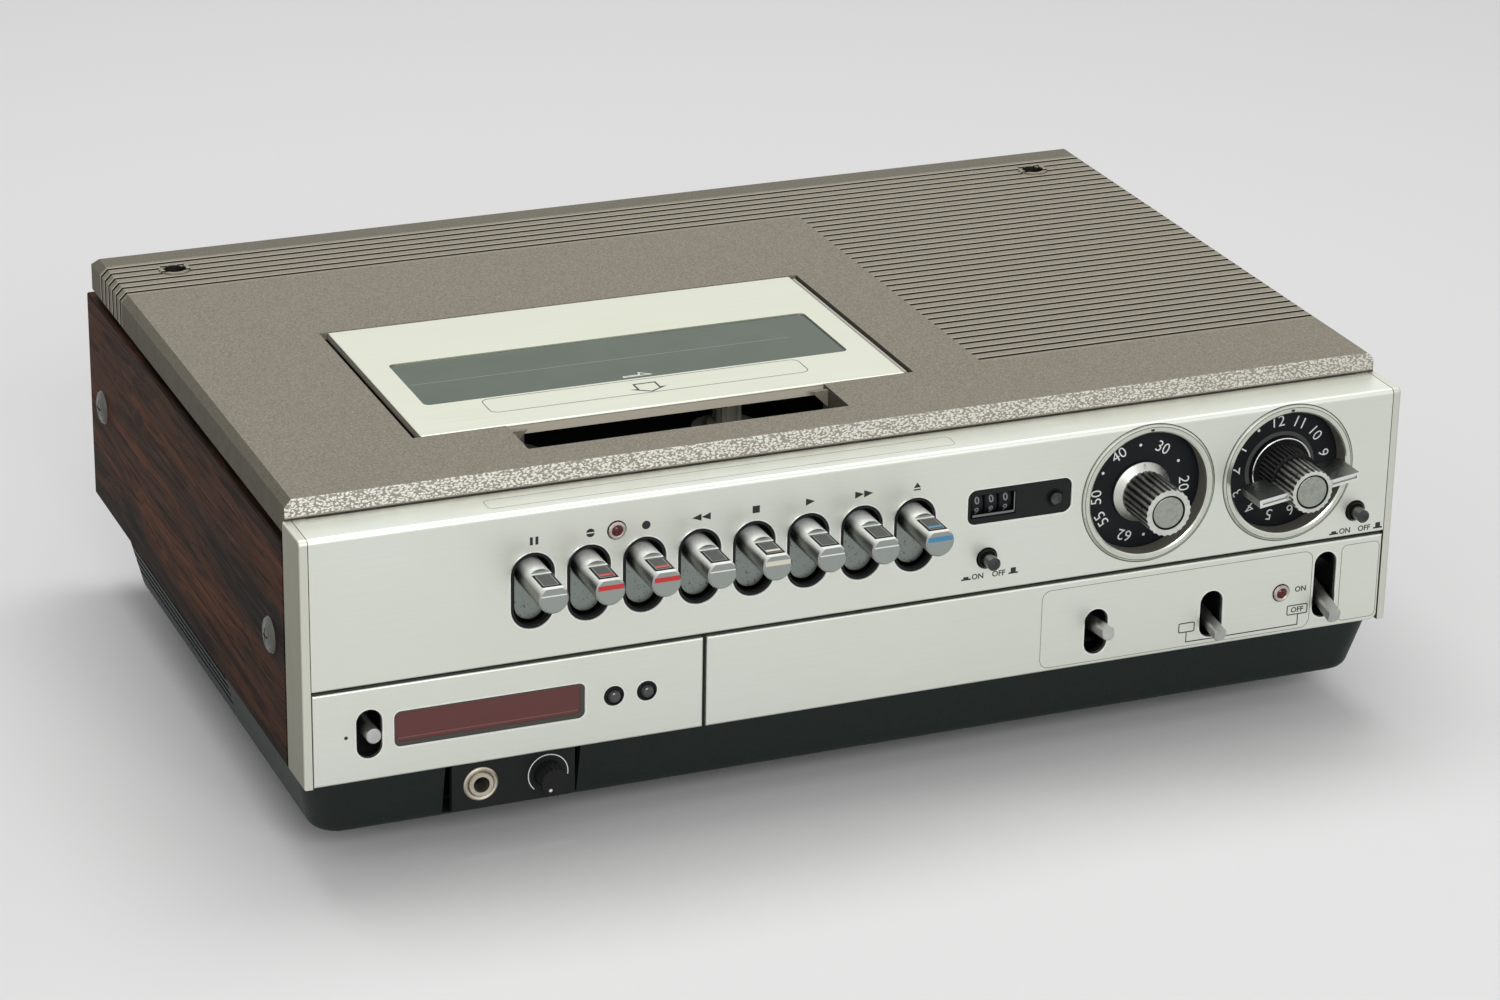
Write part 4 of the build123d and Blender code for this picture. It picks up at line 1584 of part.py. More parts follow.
# ============================================================ microphone jack and tracking knob
MIC_PROUD = 1.6
MIC_BACK = 20.0
with BuildPart() as mic_jack:
    with BuildSketch(lathe(MIC_X, MIC_HEIGHT)):
        with BuildLine():
            Polyline((MIC_BORE, BASE_FRONT - MIC_PROUD), (MIC_BORE, MIC_BACK), (MIC_BODY, MIC_BACK),
                     (MIC_BODY, BASE_FRONT), (MIC_RING, BASE_FRONT), (MIC_RING, BASE_FRONT - 0.7),
                     (MIC_RING - 0.6, BASE_FRONT - 1.2), (MIC_BODY, BASE_FRONT - 0.8),
                     (MIC_BODY - 0.4, BASE_FRONT - MIC_PROUD), close=True)
        make_face()
    revolve(axis=spindle(MIC_X, MIC_HEIGHT))
save(mic_jack.part, "mic_jack")

TRACK_BACK = BASE_FRONT - FIT
CLIP_RADIUS = 2.6
CLIP_THICKNESS = 1.0
POINTER_REACH = 3.6
POINTER_ANGLE = -120
POINTER = (0.8, 0.4)
with BuildPart() as tracking_knob:
    with BuildSketch(front(TRACK_BACK)):
        Polygon(*around(TRACK_X, TRACK_HEIGHT, fluted(TRACK_RADIUS, 20)), align=None)
    extrude(amount=TRACK_REACH)
    with BuildSketch(front(TRACK_BOSS_DEPTH + FIT)):
        with Locations((TRACK_X, TRACK_HEIGHT)):
            Circle(TRACK_SHAFT)
    extrude(amount=TRACK_BOSS_DEPTH + FIT - TRACK_BACK)
    with BuildSketch(front(TRACK_BOSS_DEPTH + FIT)):
        with Locations((TRACK_X, TRACK_HEIGHT)):
            Circle(CLIP_RADIUS)
    extrude(amount=-CLIP_THICKNESS)
    # pointer dot pressed in the face
    with BuildSketch(front(TRACK_BACK - TRACK_REACH)):
        pointer = math.radians(POINTER_ANGLE)
        with Locations((TRACK_X + POINTER_REACH * math.cos(pointer),
                        TRACK_HEIGHT + POINTER_REACH * math.sin(pointer))):
            Circle(POINTER[0])
    extrude(amount=-POINTER[1], mode=Mode.SUBTRACT)
save(tracking_knob.part, "tracking_knob")
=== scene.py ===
# %% [markdown]
# # Top-loading video cassette recorder
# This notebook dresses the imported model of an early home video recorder. The solids stay
# where they are and get their finishes here; printed marks, pads and stripes are added
# as thin pieces that ride on the same moving bodies.

import json
import math

import bmesh
import bpy
from mathutils import Matrix, Vector

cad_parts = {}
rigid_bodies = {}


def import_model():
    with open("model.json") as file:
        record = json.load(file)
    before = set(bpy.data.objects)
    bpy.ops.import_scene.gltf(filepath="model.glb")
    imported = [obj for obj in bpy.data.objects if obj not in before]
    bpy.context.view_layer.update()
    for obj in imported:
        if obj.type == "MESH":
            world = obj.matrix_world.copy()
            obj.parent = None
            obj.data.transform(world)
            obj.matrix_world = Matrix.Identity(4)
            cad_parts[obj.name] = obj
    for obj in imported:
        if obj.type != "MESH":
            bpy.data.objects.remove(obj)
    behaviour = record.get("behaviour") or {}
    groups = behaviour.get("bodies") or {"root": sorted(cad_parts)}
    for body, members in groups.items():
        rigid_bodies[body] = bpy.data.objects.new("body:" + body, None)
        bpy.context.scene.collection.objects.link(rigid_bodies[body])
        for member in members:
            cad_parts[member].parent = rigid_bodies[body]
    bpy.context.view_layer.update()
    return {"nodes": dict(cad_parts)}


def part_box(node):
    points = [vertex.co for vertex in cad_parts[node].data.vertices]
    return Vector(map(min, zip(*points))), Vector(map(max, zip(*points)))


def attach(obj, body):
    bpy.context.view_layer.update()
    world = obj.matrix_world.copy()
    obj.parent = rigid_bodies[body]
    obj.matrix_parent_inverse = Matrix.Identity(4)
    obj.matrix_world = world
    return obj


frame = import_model()
NODES = frame["nodes"]

# %% [markdown]
# All sizes below are written in millimetres, measured the way a fitter would: across from
# the middle, back from the face of the silver panels, and up from their lower edge.
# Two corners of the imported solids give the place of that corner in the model.

# %% Measuring from the front panel
MM = 0.001
FACE_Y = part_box("front_panel")[0][1]
SILL_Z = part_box("end_cheeks")[0][2]


def at(x, depth, height):
    return Vector((x * MM, FACE_Y + depth * MM, SILL_Z + height * MM))


print("panel corner", round(FACE_Y, 4), round(SILL_Z, 4))

# %% [markdown]
# ## Studio
# A long lens from the front left, a little above. The camera matrix is written out from
# its three axes, which is the surest way to hold a measured viewpoint.

# %% Camera
camera_data = bpy.data.cameras.new("camera")
camera_data.lens = 106.15
camera_data.sensor_width = 36.0
camera = bpy.data.objects.new("camera", camera_data)
bpy.context.scene.collection.objects.link(camera)
bpy.context.scene.camera = camera
right = Vector((0.92598612, -0.37720632, 0.01628176))
up = Vector((0.13111167, 0.36170157, 0.92302855))
back = Vector((-0.35406135, -0.85257689, 0.38438679))
eye = at(-635.61, -1407.02, 725.39)
camera.matrix_world = Matrix.Translation(eye) @ Matrix((right, up, back)).transposed().to_4x4()
print("camera at", [round(v, 3) for v in eye])

# %% [markdown]
# ## Node helper
# World, shared groups and finishes are all node trees, so one small class adds nodes to any
# of them. Masks by position use Object coordinates, so a pattern keeps its place on a piece
# that moves.

# %% Node helper


class Nodes:
    def __init__(self, tree):
        self.tree = tree

    def feed(self, socket, value):
        """Sets a socket to a value, or links another node's output to it."""
        if isinstance(value, bpy.types.NodeSocket):
            self.tree.links.new(value, socket)
        else:
            socket.default_value = value

    def add(self, kind, inputs, **settings):
        """Adds a node; the settings are its own properties, such as an operation."""
        node = self.tree.nodes.new("ShaderNode" + kind)
        for label, value in settings.items():
            setattr(node, label, value)
        for label, value in inputs.items():
            self.feed(node.inputs[label], value)
        return node

    def math(self, operation, *values):
        return self.add("Math", dict(enumerate(values)), operation=operation).outputs[0]

    def product(self, *masks):
        """White only where every mask is white."""
        result = masks[0]
        for mask in masks[1:]:
            result = self.math("MULTIPLY", result, mask)
        return result

    def ramp(self, value, low, high, to_low=0.0, to_high=1.0):
        """Stretches a range of values to a mask, and clamps it at both ends."""
        limits = {"From Min": low, "From Max": high, "To Min": to_low, "To Max": to_high}
        return self.add("MapRange", {"Value": value, **limits}, clamp=True).outputs[0]

    def place(self, stretch=(1, 1, 1)):
        """Object coordinates, squeezed by a factor along each axis."""
        whole = self.add("TexCoord", {}).outputs["Object"]
        return self.add("Mapping", {"Vector": whole, "Scale": stretch}).outputs[0]

    def split(self, vector):
        return self.add("SeparateXYZ", {0: vector}).outputs

    def position(self):
        return self.split(self.place())

    def normals(self):
        """The piece's own normal, split into its three parts."""
        return self.split(self.add("TexCoord", {}).outputs["Normal"])

    def noise(self, where, scale, detail, rough):
        """A noise of a vector, or of Object coordinates stretched by three factors."""
        vector = self.place(where) if isinstance(where, tuple) else where
        values = {"Vector": vector, "Scale": scale, "Detail": detail, "Roughness": rough}
        return self.add("TexNoise", values).outputs["Fac"]

    def group(self, group, **values):
        """Places a shared group and returns its outputs."""
        return self.add("Group", values, node_tree=group.tree).outputs


def new_group(name, inputs, outputs):
    """An empty group of floats, with its inner start and end; an input of None is a vector."""
    tree = bpy.data.node_groups.new(name, "ShaderNodeTree")
    for label, value in inputs.items():
        kind = "NodeSocketVector" if value is None else "NodeSocketFloat"
        socket = tree.interface.new_socket(label, in_out="INPUT", socket_type=kind)
        if value is not None:
            socket.default_value = value
    for label in outputs:
        tree.interface.new_socket(label, in_out="OUTPUT", socket_type="NodeSocketFloat")
    return Nodes(tree), tree.nodes.new("NodeGroupInput").outputs, tree.nodes.new("NodeGroupOutput").inputs


print("node helper ready")

# %% [markdown]
# The room is a pale sweep. Camera, mirror and glass rays see a near-white room, while
# everything else gets a plain even level, so painted colours come out as written.

# %% World and floor
SKY_LEVEL = 0.42
world = bpy.data.worlds.new("studio")
bpy.context.scene.world = world
world.use_nodes = True
world.node_tree.nodes.clear()
sky = Nodes(world.node_tree)
rays = sky.add("LightPath", {}).outputs
seen = sky.add("Background", {"Color": (0.93, 0.93, 0.93, 1), "Strength": 1.0})
fill = sky.add("Background", {"Color": (1, 1, 1, 1), "Strength": SKY_LEVEL})
direct = rays["Is Camera Ray"]
for label in ("Is Glossy Ray", "Is Transmission Ray"):
    direct = sky.add("Math", {0: direct, 1: rays[label]}, operation="ADD", use_clamp=True).outputs[0]
mix = sky.add("MixShader", {0: direct, 1: fill.outputs[0], 2: seen.outputs[0]})
sky.add("OutputWorld", {"Surface": mix.outputs[0]})

floor_mesh = bpy.data.meshes.new("floor")
shape = bmesh.new()
bmesh.ops.create_grid(shape, x_segments=1, y_segments=1, size=6.0)
shape.to_mesh(floor_mesh)
shape.free()
floor = bpy.data.objects.new("floor", floor_mesh)
bpy.context.scene.collection.objects.link(floor)
floor_paint = bpy.data.materials.new("pale_sweep")
floor_paint.use_nodes = True
sweep = floor_paint.node_tree.nodes["Principled BSDF"]
sweep.inputs["Base Color"].default_value = (0.8, 0.8, 0.8, 1)
sweep.inputs["Roughness"].default_value = 0.9
floor_mesh.materials.append(floor_paint)
print("floor and sky")

# %% [markdown]
# Three area lamps: a broad one overhead, a softer one in front that lights the silver
# panels, and a weak card on the left. Large lamps leave soft edges on brushed metal.

# %% Lamps


def lamp(name, place, target, size, power):
    data = bpy.data.lights.new(name, "AREA")
    data.shape = "RECTANGLE"
    data.size, data.size_y = size
    data.energy = power
    obj = bpy.data.objects.new(name, data)
    obj.location = place
    obj.rotation_euler = (Vector(target) - Vector(place)).to_track_quat("-Z", "Y").to_euler()
    bpy.context.scene.collection.objects.link(obj)


lamp("overhead_softbox", (0.1, 0.5, 1.9), (0, 0, 0.1), (1.6, 0.9), 17)
lamp("front_softbox", (-0.25, -2.2, 1.2), (-0.1, 0, 0.05), (1.2, 0.8), 21)
lamp("left_card", (-2.0, -0.6, 0.9), (0, 0, 0.1), (1.2, 1.2), 1.5)
bpy.context.scene.view_settings.view_transform = "Standard"

# %% [markdown]
# ## Shared effects
# Most finishes here are one Principled shader with two or three masks. The masks that
# several finishes share are node groups: brushing, moulded grain, edge wear, dust and painted shade.
#
# **Brushing.** Abrasive belts leave long hairlines. A noise squeezed hard along the
# direction of travel gives them; a broad, faint noise adds handling marks.

# %% Brushing group
brushing, start, end = new_group("brushing", {"Fineness": 700.0, "Vector": None}, ("Lines", "Stains"))
brushing.feed(end["Lines"], brushing.noise(start["Vector"], start["Fineness"], 4.0, 0.6))
stains = brushing.noise((1, 1, 1), 14.0, 4.0, 0.55)
brushing.feed(end["Stains"], brushing.ramp(stains, 0.35, 0.7))
print("group", brushing.tree.name)

# %% [markdown]
# **Moulded grain.** Plastic skins and crinkle paint are fields of small rounded hills.
# Smooth Voronoi cells give the hills, and noise breaks their regularity.

# %% Grain group
grain, start, end = new_group("moulded_grain", {"Fineness": 900.0}, ("Hills", "Specks"))
where = grain.place()
cells = {"Vector": where, "Scale": start["Fineness"], "Smoothness": 0.6}
hills = grain.add("TexVoronoi", cells, feature="SMOOTH_F1").outputs["Distance"]
break_up = grain.noise(where, grain.math("MULTIPLY", start["Fineness"], 0.6), 3.0, 0.6)
grain.feed(end["Hills"], grain.math("ADD", hills, grain.math("MULTIPLY", break_up, 0.7)))
fleck = grain.noise(where, grain.math("MULTIPLY", start["Fineness"], 1.7), 2.0, 0.5)
grain.feed(end["Specks"], grain.ramp(fleck, 0.6, 0.72))
print("group", grain.tree.name)

# %% [markdown]
# ** Edge wear, dust and painted shade.** Corners rub bright, ledges catch dust and hollows get
# painted shade. Geometry's Pointiness finds the corners and the hollows; the part of the normal
# that points up finds the ledges.

# %% Wear and shade group
wear_and_shade, start, end = new_group("wear_dust_and_shade", {"Amount": 1.0}, ("Edges", "Hollows", "Dust"))
surface = wear_and_shade.add("NewGeometry", {}).outputs
broken = wear_and_shade.ramp(wear_and_shade.noise((1, 1, 1), 260.0, 4.0, 0.6), 0.4, 0.6)
patchy = wear_and_shade.ramp(wear_and_shade.noise((1, 1, 1), 35.0, 5.0, 0.6), 0.35, 0.75)
EFFECTS = {
    "Edges": wear_and_shade.product(wear_and_shade.ramp(surface["Pointiness"], 0.51, 0.56), broken),
    # Hollows: painted shade in concave corners
    "Hollows": wear_and_shade.ramp(surface["Pointiness"], 0.492, 0.45),
    "Dust": wear_and_shade.product(wear_and_shade.ramp(wear_and_shade.split(surface["Normal"])["Z"], 0.5, 1.0), patchy),
}
for label, mask in EFFECTS.items():
    wear_and_shade.feed(end[label], wear_and_shade.product(mask, start["Amount"]))
print("group", wear_and_shade.tree.name)

# %% [markdown]
# **A finish** is a small class that holds the material and its shader, so that each recipe
# below reads as a list of what is special about that surface. Masks by depth and by height
# are given in the fitter's measures.

# %% Finish class


class Finish(Nodes):
    def __init__(self, name, colour, roughness, metallic=0.0, **sockets):
        self.material = bpy.data.materials.new(name)
        self.material.use_nodes = True
        super().__init__(self.material.node_tree)
        self.sockets = self.tree.nodes["Principled BSDF"].inputs
        start = {"Base Color": (*colour, 1), "Roughness": roughness, "Metallic": metallic}
        for label, value in {**start, **sockets}.items():
            self.sockets[label.replace("_", " ")].default_value = value

    def by_depth(self, start, end):
        """A mask that turns white between two depths behind the panels."""
        return self.ramp(self.position()["Y"], FACE_Y + start * MM, FACE_Y + end * MM)

    def by_height(self, start, end):
        """A mask that turns white between two heights above the lower edge of the panels."""
        return self.ramp(self.position()["Z"], SILL_Z + start * MM, SILL_Z + end * MM)

    def facing_front(self, low, high):
        """A mask by how squarely the surface looks forward or back."""
        return self.ramp(self.math("ABSOLUTE", self.normals()["Y"]), low, high)

    def current(self, label):
        """What a socket of the shader holds now: the link into it, or else its value."""
        socket = self.sockets[label]
        return socket.links[0].from_socket if socket.is_linked else tuple(socket.default_value)

    def tint(self, mask, colour, strength=1.0):
        """Lays a second colour over the first where the mask is white."""
        factor = self.math("MULTIPLY", mask, strength)
        inputs = {"A": self.current("Base Color"), "B": (*colour, 1), "Factor": factor}
        node = self.add("Mix", inputs, data_type="RGBA")
        self.feed(self.sockets["Base Color"], node.outputs["Result"])

    def vary(self, label, mask, low, high):
        """Runs a socket of the shader from low to high as the mask goes from black to white."""
        self.feed(self.sockets[label], self.ramp(mask, 0.0, 1.0, low, high))

    def bump(self, height, distance, strength):
        node = self.add("Bump", {"Distance": distance, "Strength": strength, "Height": height})
        if self.sockets["Normal"].is_linked:
            self.feed(node.inputs["Normal"], self.current("Normal"))
        self.feed(self.sockets["Normal"], node.outputs["Normal"])

    def shade_sides(self, colour, strength=0.8, low=0.35, high=0.95):
        """Darkens what looks left, right or down, as a real room would in a bright part."""
        parts = self.normals()
        across = self.math("ABSOLUTE", parts["X"])
        below = self.math("MULTIPLY", parts["Z"], -1.0)
        self.tint(self.ramp(self.math("MAXIMUM", across, below), low, high), colour, strength)


def dress(finish, *names):
    """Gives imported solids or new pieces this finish."""
    for name in names:
        target = NODES[name] if name in NODES else bpy.data.objects[name]
        target.data.materials.clear()
        target.data.materials.append(finish.material)


print("finish class ready")

# %% [markdown]
# ## Silver panels
# The fascia is anodised aluminium, brushed along its length: a metal with mid roughness
# and hairlines that run left to right.

# %% Brushed fascia


def brushed(name, colour, roughness, stretch, fineness=900.0):
    finish = Finish(name, colour, roughness, 1.0)
    node = finish.group(brushing, Fineness=fineness, Vector=finish.place(stretch))
    finish.vary("Roughness", node["Lines"], roughness - 0.08, roughness + 0.1)
    finish.tint(node["Lines"], tuple(c * 0.86 for c in colour), 0.35)
    finish.tint(node["Stains"], (colour[0] * 0.93, colour[1] * 0.9, colour[2] * 0.82), 0.3)
    finish.bump(node["Lines"], 0.00002, 0.5)
    return finish


fascia = brushed("brushed_fascia", (0.755, 0.78, 0.72), 0.42, (0.03, 1, 1))
dress(fascia, "front_panel", "timer_panel", "switch_panel")
cheek = brushed("end_cheek_silver", (0.66, 0.67, 0.60), 0.45, (1, 1, 0.05), 700.0)
# painted shade on the side faces of the cheeks
cheek.shade_sides((0.25, 0.25, 0.19), 0.95, 0.5, 0.9)
dress(cheek, "end_cheeks")
print("fascia finished")

# %% [markdown]
# ## Cover
# The lid of the cabinet is steel in a taupe paint with a fine speckle. Its narrow front
# face carries a leather grain: rows of rounded pebbles, their tops lit by painted highlights,
# with darker creases between them. A mask made from the object's own depth keeps that grain
# on the front face only.

# %% Leather grain group
leather, start, end = new_group("leather_grain", {"Fineness": 1000.0}, ("Pebbles", "Peaks"))
where = leather.place((0.62, 1, 1))
wander = leather.add("TexNoise", {"Scale": 900.0, "Vector": where}).outputs["Color"]
shift = {0: wander, 1: (0.0011, 0.0011, 0.0011), 2: where}
bent = leather.add("VectorMath", shift, operation="MULTIPLY_ADD").outputs[0]
stones = leather.add("TexVoronoi", {"Vector": bent, "Scale": start["Fineness"]}, feature="F1")
pebble = leather.ramp(stones.outputs["Distance"], 0.12, 0.72, 1.0, 0.0)
leather.feed(end["Pebbles"], pebble)
leather.feed(end["Peaks"], leather.ramp(pebble, 0.23, 0.46))
print("group", leather.tree.name)

# %% [markdown]
# The paint itself is a base colour with light and dark specks. Sides and bevels get painted
# shade, darker than the top. The front strip gets a painted lighter tone and painted highlights
# on its pebbles, fading to the right. The pebbles stop just above the ledge, where a painted
# shadow line closes the strip.

# %% Crinkle paint
COVER_FACE = 20.95
COVER_TOP = 107.3
STRIP_DEPTH = 1.4
LEDGE_TOP = 99.3
cover = Finish("taupe_crinkle_paint", (0.232, 0.210, 0.166), 0.6, 0.0, Specular_IOR_Level=0.08)
fine = cover.group(grain, Fineness=1050.0)
coarse = cover.group(leather, Fineness=1280.0)
cover.tint(coarse["Peaks"], (0.285, 0.262, 0.212), 0.3)
cover.tint(fine["Specks"], (0.42, 0.39, 0.33), 0.6)
crinkle = cover.noise((1, 1, 1), 1250.0, 3.0, 0.6)
cover.tint(cover.ramp(crinkle, 0.5, 0.64), (0.37, 0.34, 0.28), 0.55)
cover.tint(cover.ramp(crinkle, 0.5, 0.36), (0.145, 0.13, 0.10), 0.55)
# painted shade on the sides and bevels of the cover
cover.shade_sides((0.074, 0.067, 0.048), 0.9, 0.4, 0.8)
slope = cover.split(cover.add("NewGeometry", {}).outputs["Normal"])["Y"]
toward = cover.ramp(cover.math("MULTIPLY", slope, -1.0), 0.25, 0.6)
strip_mask = cover.product(cover.by_depth(COVER_FACE + STRIP_DEPTH, COVER_FACE + 0.7 * STRIP_DEPTH), toward)
# painted light: the front strip is lighter than the rest of the cover
cover.tint(strip_mask, (0.345, 0.322, 0.272), 0.95)
# painted highlights on the pebble tops of the strip, strongest on the left
highlight_falloff = cover.ramp(cover.position()["X"], -0.2, 0.2, 1.0, 0.68)
above_ledge = cover.by_height(LEDGE_TOP + 0.8, LEDGE_TOP + 1.3)
cover.tint(cover.product(coarse["Peaks"], strip_mask, highlight_falloff, above_ledge), (0.98, 0.965, 0.90), 0.97)
# painted shadow in the gap between the strip and the ledge
gap_shadow = cover.by_height(LEDGE_TOP + 0.65, LEDGE_TOP + 0.35)
cover.tint(cover.product(gap_shadow, strip_mask), (0.03, 0.027, 0.022), 0.9)
cover.bump(fine["Hills"], 0.0001, 0.5)
cover.bump(cover.product(coarse["Pebbles"], strip_mask), 0.0004, 0.8)
aged = cover.group(wear_and_shade, Amount=1.0)
cover.tint(aged["Edges"], (0.36, 0.335, 0.285), 0.06)
cover.tint(aged["Dust"], (0.31, 0.285, 0.24), 0.04)
print("cover painted")

# %% [markdown]
# The rib grooves get painted shade, the front edge of each rib a painted highlight, and the
# ribbed field is a little lighter. Their pitch is known, so a sawtooth of the depth finds them:
# a band once every pitch, right across for the last six and only on the right for the others.
# The plain band behind them gets painted shade, darker as if it sloped away.

# %% Grooves
RIB_LAST = 283.3
RIB_PITCH = 6.006
RIB_GROOVE = 1.5
RIB_LONG = 6
RIB_COUNT = 37
RIB_FIELD = 73.0
GROOVE_EDGE = 0.5 * RIB_GROOVE / RIB_PITCH
back = cover.math("SUBTRACT", cover.position()["Y"], FACE_Y + (RIB_LAST + RIB_PITCH / 2) * MM)
turns = cover.math("DIVIDE", back, RIB_PITCH * MM)
from_middle = cover.math("SUBTRACT", cover.math("FRACT", turns), 0.5)
groove = cover.ramp(cover.math("ABSOLUTE", from_middle), GROOVE_EDGE + 0.035, GROOVE_EDGE + 0.01)
rib_front_highlight = cover.product(
    cover.ramp(from_middle, GROOVE_EDGE, GROOVE_EDGE + 0.03),
    cover.ramp(from_middle, GROOVE_EDGE + 0.15, GROOVE_EDGE + 0.12),
)
long_ones = cover.ramp(turns, -RIB_LONG - 0.05, -RIB_LONG + 0.05)
right_ones = cover.ramp(cover.position()["X"], (RIB_FIELD - 0.3) * MM, (RIB_FIELD + 0.3) * MM)
field = cover.product(
    cover.math("MAXIMUM", long_ones, right_ones),
    cover.ramp(turns, -RIB_COUNT - 0.05, -RIB_COUNT + 0.05),
    cover.ramp(turns, 0.05, -0.05),
)
cover.tint(field, (0.40, 0.365, 0.30), 0.28)
# painted highlight on the front edge of each rib
cover.tint(cover.product(rib_front_highlight, field), (0.56, 0.52, 0.43), 0.8)
# painted shade in the grooves
cover.tint(cover.product(groove, field), (0.020, 0.017, 0.013), 0.95)
# painted shade on the plain band behind the ribs
cover.tint(cover.ramp(turns, 0.05, 0.15), (0.135, 0.128, 0.098), 0.7)
print("ribs", RIB_COUNT, "pitch", RIB_PITCH)

# %% [markdown]
# Two screws hold the cover from above. Their holes are deep, so inside a circle round each
# screw everything below the top gets painted shade, nearly black.

# %% Screw holes
SCREW_X = (-196.5, 195.5)
SCREW_DEPTH = 274.0
HOLE_RADIUS = 4.95
below_top = cover.by_height(COVER_TOP + 0.5, COVER_TOP + 0.1)
for x in SCREW_X:
    ends = {0: cover.place((1, 1, 0)), 1: at(x, SCREW_DEPTH, 0).to_2d().to_3d()}
    away = cover.add("VectorMath", ends, operation="DISTANCE").outputs["Value"]
    hole = cover.ramp(away, (HOLE_RADIUS + 0.15) * MM, HOLE_RADIUS * MM)
    # painted shade inside the screw hole
    cover.tint(cover.product(hole, below_top), (0.012, 0.011, 0.009), 0.97)
dress(cover, "top_cover")
print("cover finished")

# %% [markdown]
# ## Wood sides
# Rosewood veneer: dark heartwood with red streaks that follow the length of the cabinet.
# A stretched noise makes the broad figure and a finer one the veins in it. A slow noise
# bends both, and a last one, drawn out along the grain, makes the pores.

# %% Rosewood
wood = Finish("rosewood_veneer", (0.034, 0.018, 0.0115), 0.5, 0.0, Specular_IOR_Level=0.02)
bend = wood.noise((1, 0.9, 6), 3.0, 3.0, 0.5)
swell = {0: wood.place((6, 0.14, 6)), "Scale": wood.ramp(bend, 0.3, 0.7, 0.9, 1.15)}
bent_grain = wood.add("VectorMath", swell, operation="SCALE").outputs[0]
figure = wood.noise(bent_grain, 9.0, 6.0, 0.62)
veins = wood.noise(bent_grain, 31.0, 4.0, 0.6)
pores = wood.noise((1, 0.03, 1), 900.0, 2.0, 0.5)
year_rings = wood.math("FRACT", wood.math("MULTIPLY", figure, 11.0))
year_rings = wood.math("ABSOLUTE", wood.math("SUBTRACT", year_rings, 0.5))
wood.tint(wood.ramp(figure, 0.45, 0.56), (0.066, 0.0255, 0.0135), 0.9)
wood.tint(wood.ramp(figure, 0.57, 0.68), (0.116, 0.041, 0.0175), 0.8)
wood.tint(wood.ramp(figure, 0.45, 0.38), (0.013, 0.010, 0.009), 0.9)
wood.tint(wood.ramp(year_rings, 0.14, 0.03), (0.012, 0.008, 0.006), 0.6)
wood.tint(wood.ramp(veins, 0.56, 0.62), (0.012, 0.007, 0.005), 0.75)
wood.tint(wood.ramp(pores, 0.56, 0.64), (0.007, 0.005, 0.004), 0.7)
wood.tint(wood.ramp(pores, 0.36, 0.30), (0.13, 0.062, 0.034), 0.25)
wood.vary("Roughness", pores, 0.42, 0.6)
wood.bump(pores, 0.00004, 0.4)
dress(wood, "wood_sides")
print("wood finished")

# %% [markdown]
# ## Black mouldings
# Base, front frame and knobs are black plastic. Real black plastic is a dark grey with a
# fine grain that only shows where light grazes it.

# %% Black plastics


def moulded_black(name, colour, roughness, fineness=900.0, depth=0.0001, dust=0.12, shine=0.18, edges=0.0):
    finish = Finish(name, colour, roughness, 0.0, Specular_IOR_Level=shine)
    node = finish.group(grain, Fineness=fineness)
    finish.tint(node["Specks"], tuple(c * 2.2 + 0.01 for c in colour), 0.4)
    finish.bump(node["Hills"], depth, 0.5)
    wear_and_shade_masks = finish.group(wear_and_shade, Amount=1.0)
    finish.tint(wear_and_shade_masks["Edges"], (0.30, 0.31, 0.31), edges)
    finish.tint(wear_and_shade_masks["Dust"], (0.05, 0.05, 0.045), dust)
    return finish


dress(moulded_black("base_crinkle_black", (0.0105, 0.016, 0.0145), 0.5, 1100.0, 0.00015), "base_pan")
dress(moulded_black("trim_black", (0.010, 0.011, 0.011), 0.45, 1400.0, 0.00005),
      "front_frame", "key_escutcheon", "counter_frame")
dress(moulded_black("knob_black", (0.010, 0.010, 0.011), 0.3, 1600.0, 0.00003, 0.1), "tracking_knob")
# the bright edge tint on these buttons is a painted highlight ring
dress(moulded_black("button_black", (0.012, 0.012, 0.013), 0.16, 1600.0, 0.00001, 0.05, 0.5, 0.12),
      "counter_reset", "search_button", "aft_button", "hour_button", "minute_button")
dress(moulded_black("foot_rubber", (0.018, 0.018, 0.018), 0.8, 800.0, 0.00012), "feet")
dress(moulded_black("dark_screw", (0.007, 0.007, 0.006), 0.5, shine=0.05), "cover_screws")
dress(moulded_black("dial_black", (0.006, 0.0075, 0.0095), 0.5, 1800.0, 0.00002, 0.1),
      "uhf_dial", "vhf_dial", "counter_units", "counter_tens", "counter_hundreds")
print("black mouldings finished")

# %% [markdown]
# ## Bright metal
# Turned knobs, chromed rings and plated screws. One recipe serves them all: fine hills
# spread the shine, hollows get painted shade and edges are rubbed bright.

# %% Turned and plated metal


def metal(name, colour, roughness, fineness=500.0, depth=0.00001, edges=0.4, hollows=0.85):
    finish = Finish(name, colour, roughness, 1.0)
    node = finish.group(grain, Fineness=fineness)
    finish.vary("Roughness", node["Hills"], roughness - 0.05, roughness + 0.12)
    finish.bump(node["Hills"], depth, 0.3)
    wear_and_shade_masks = finish.group(wear_and_shade, Amount=1.0)
    # painted shade in the hollows
    finish.tint(wear_and_shade_masks["Hollows"], tuple(0.16 * c for c in colour), hollows)
    finish.tint(wear_and_shade_masks["Edges"], tuple(min(1.0, c * 1.35) for c in colour), edges)
    finish.tint(wear_and_shade_masks["Dust"], tuple(c * 0.8 for c in colour), 0.2)
    return finish


levers = metal("lever_nickel", (0.47, 0.475, 0.46), 0.28)
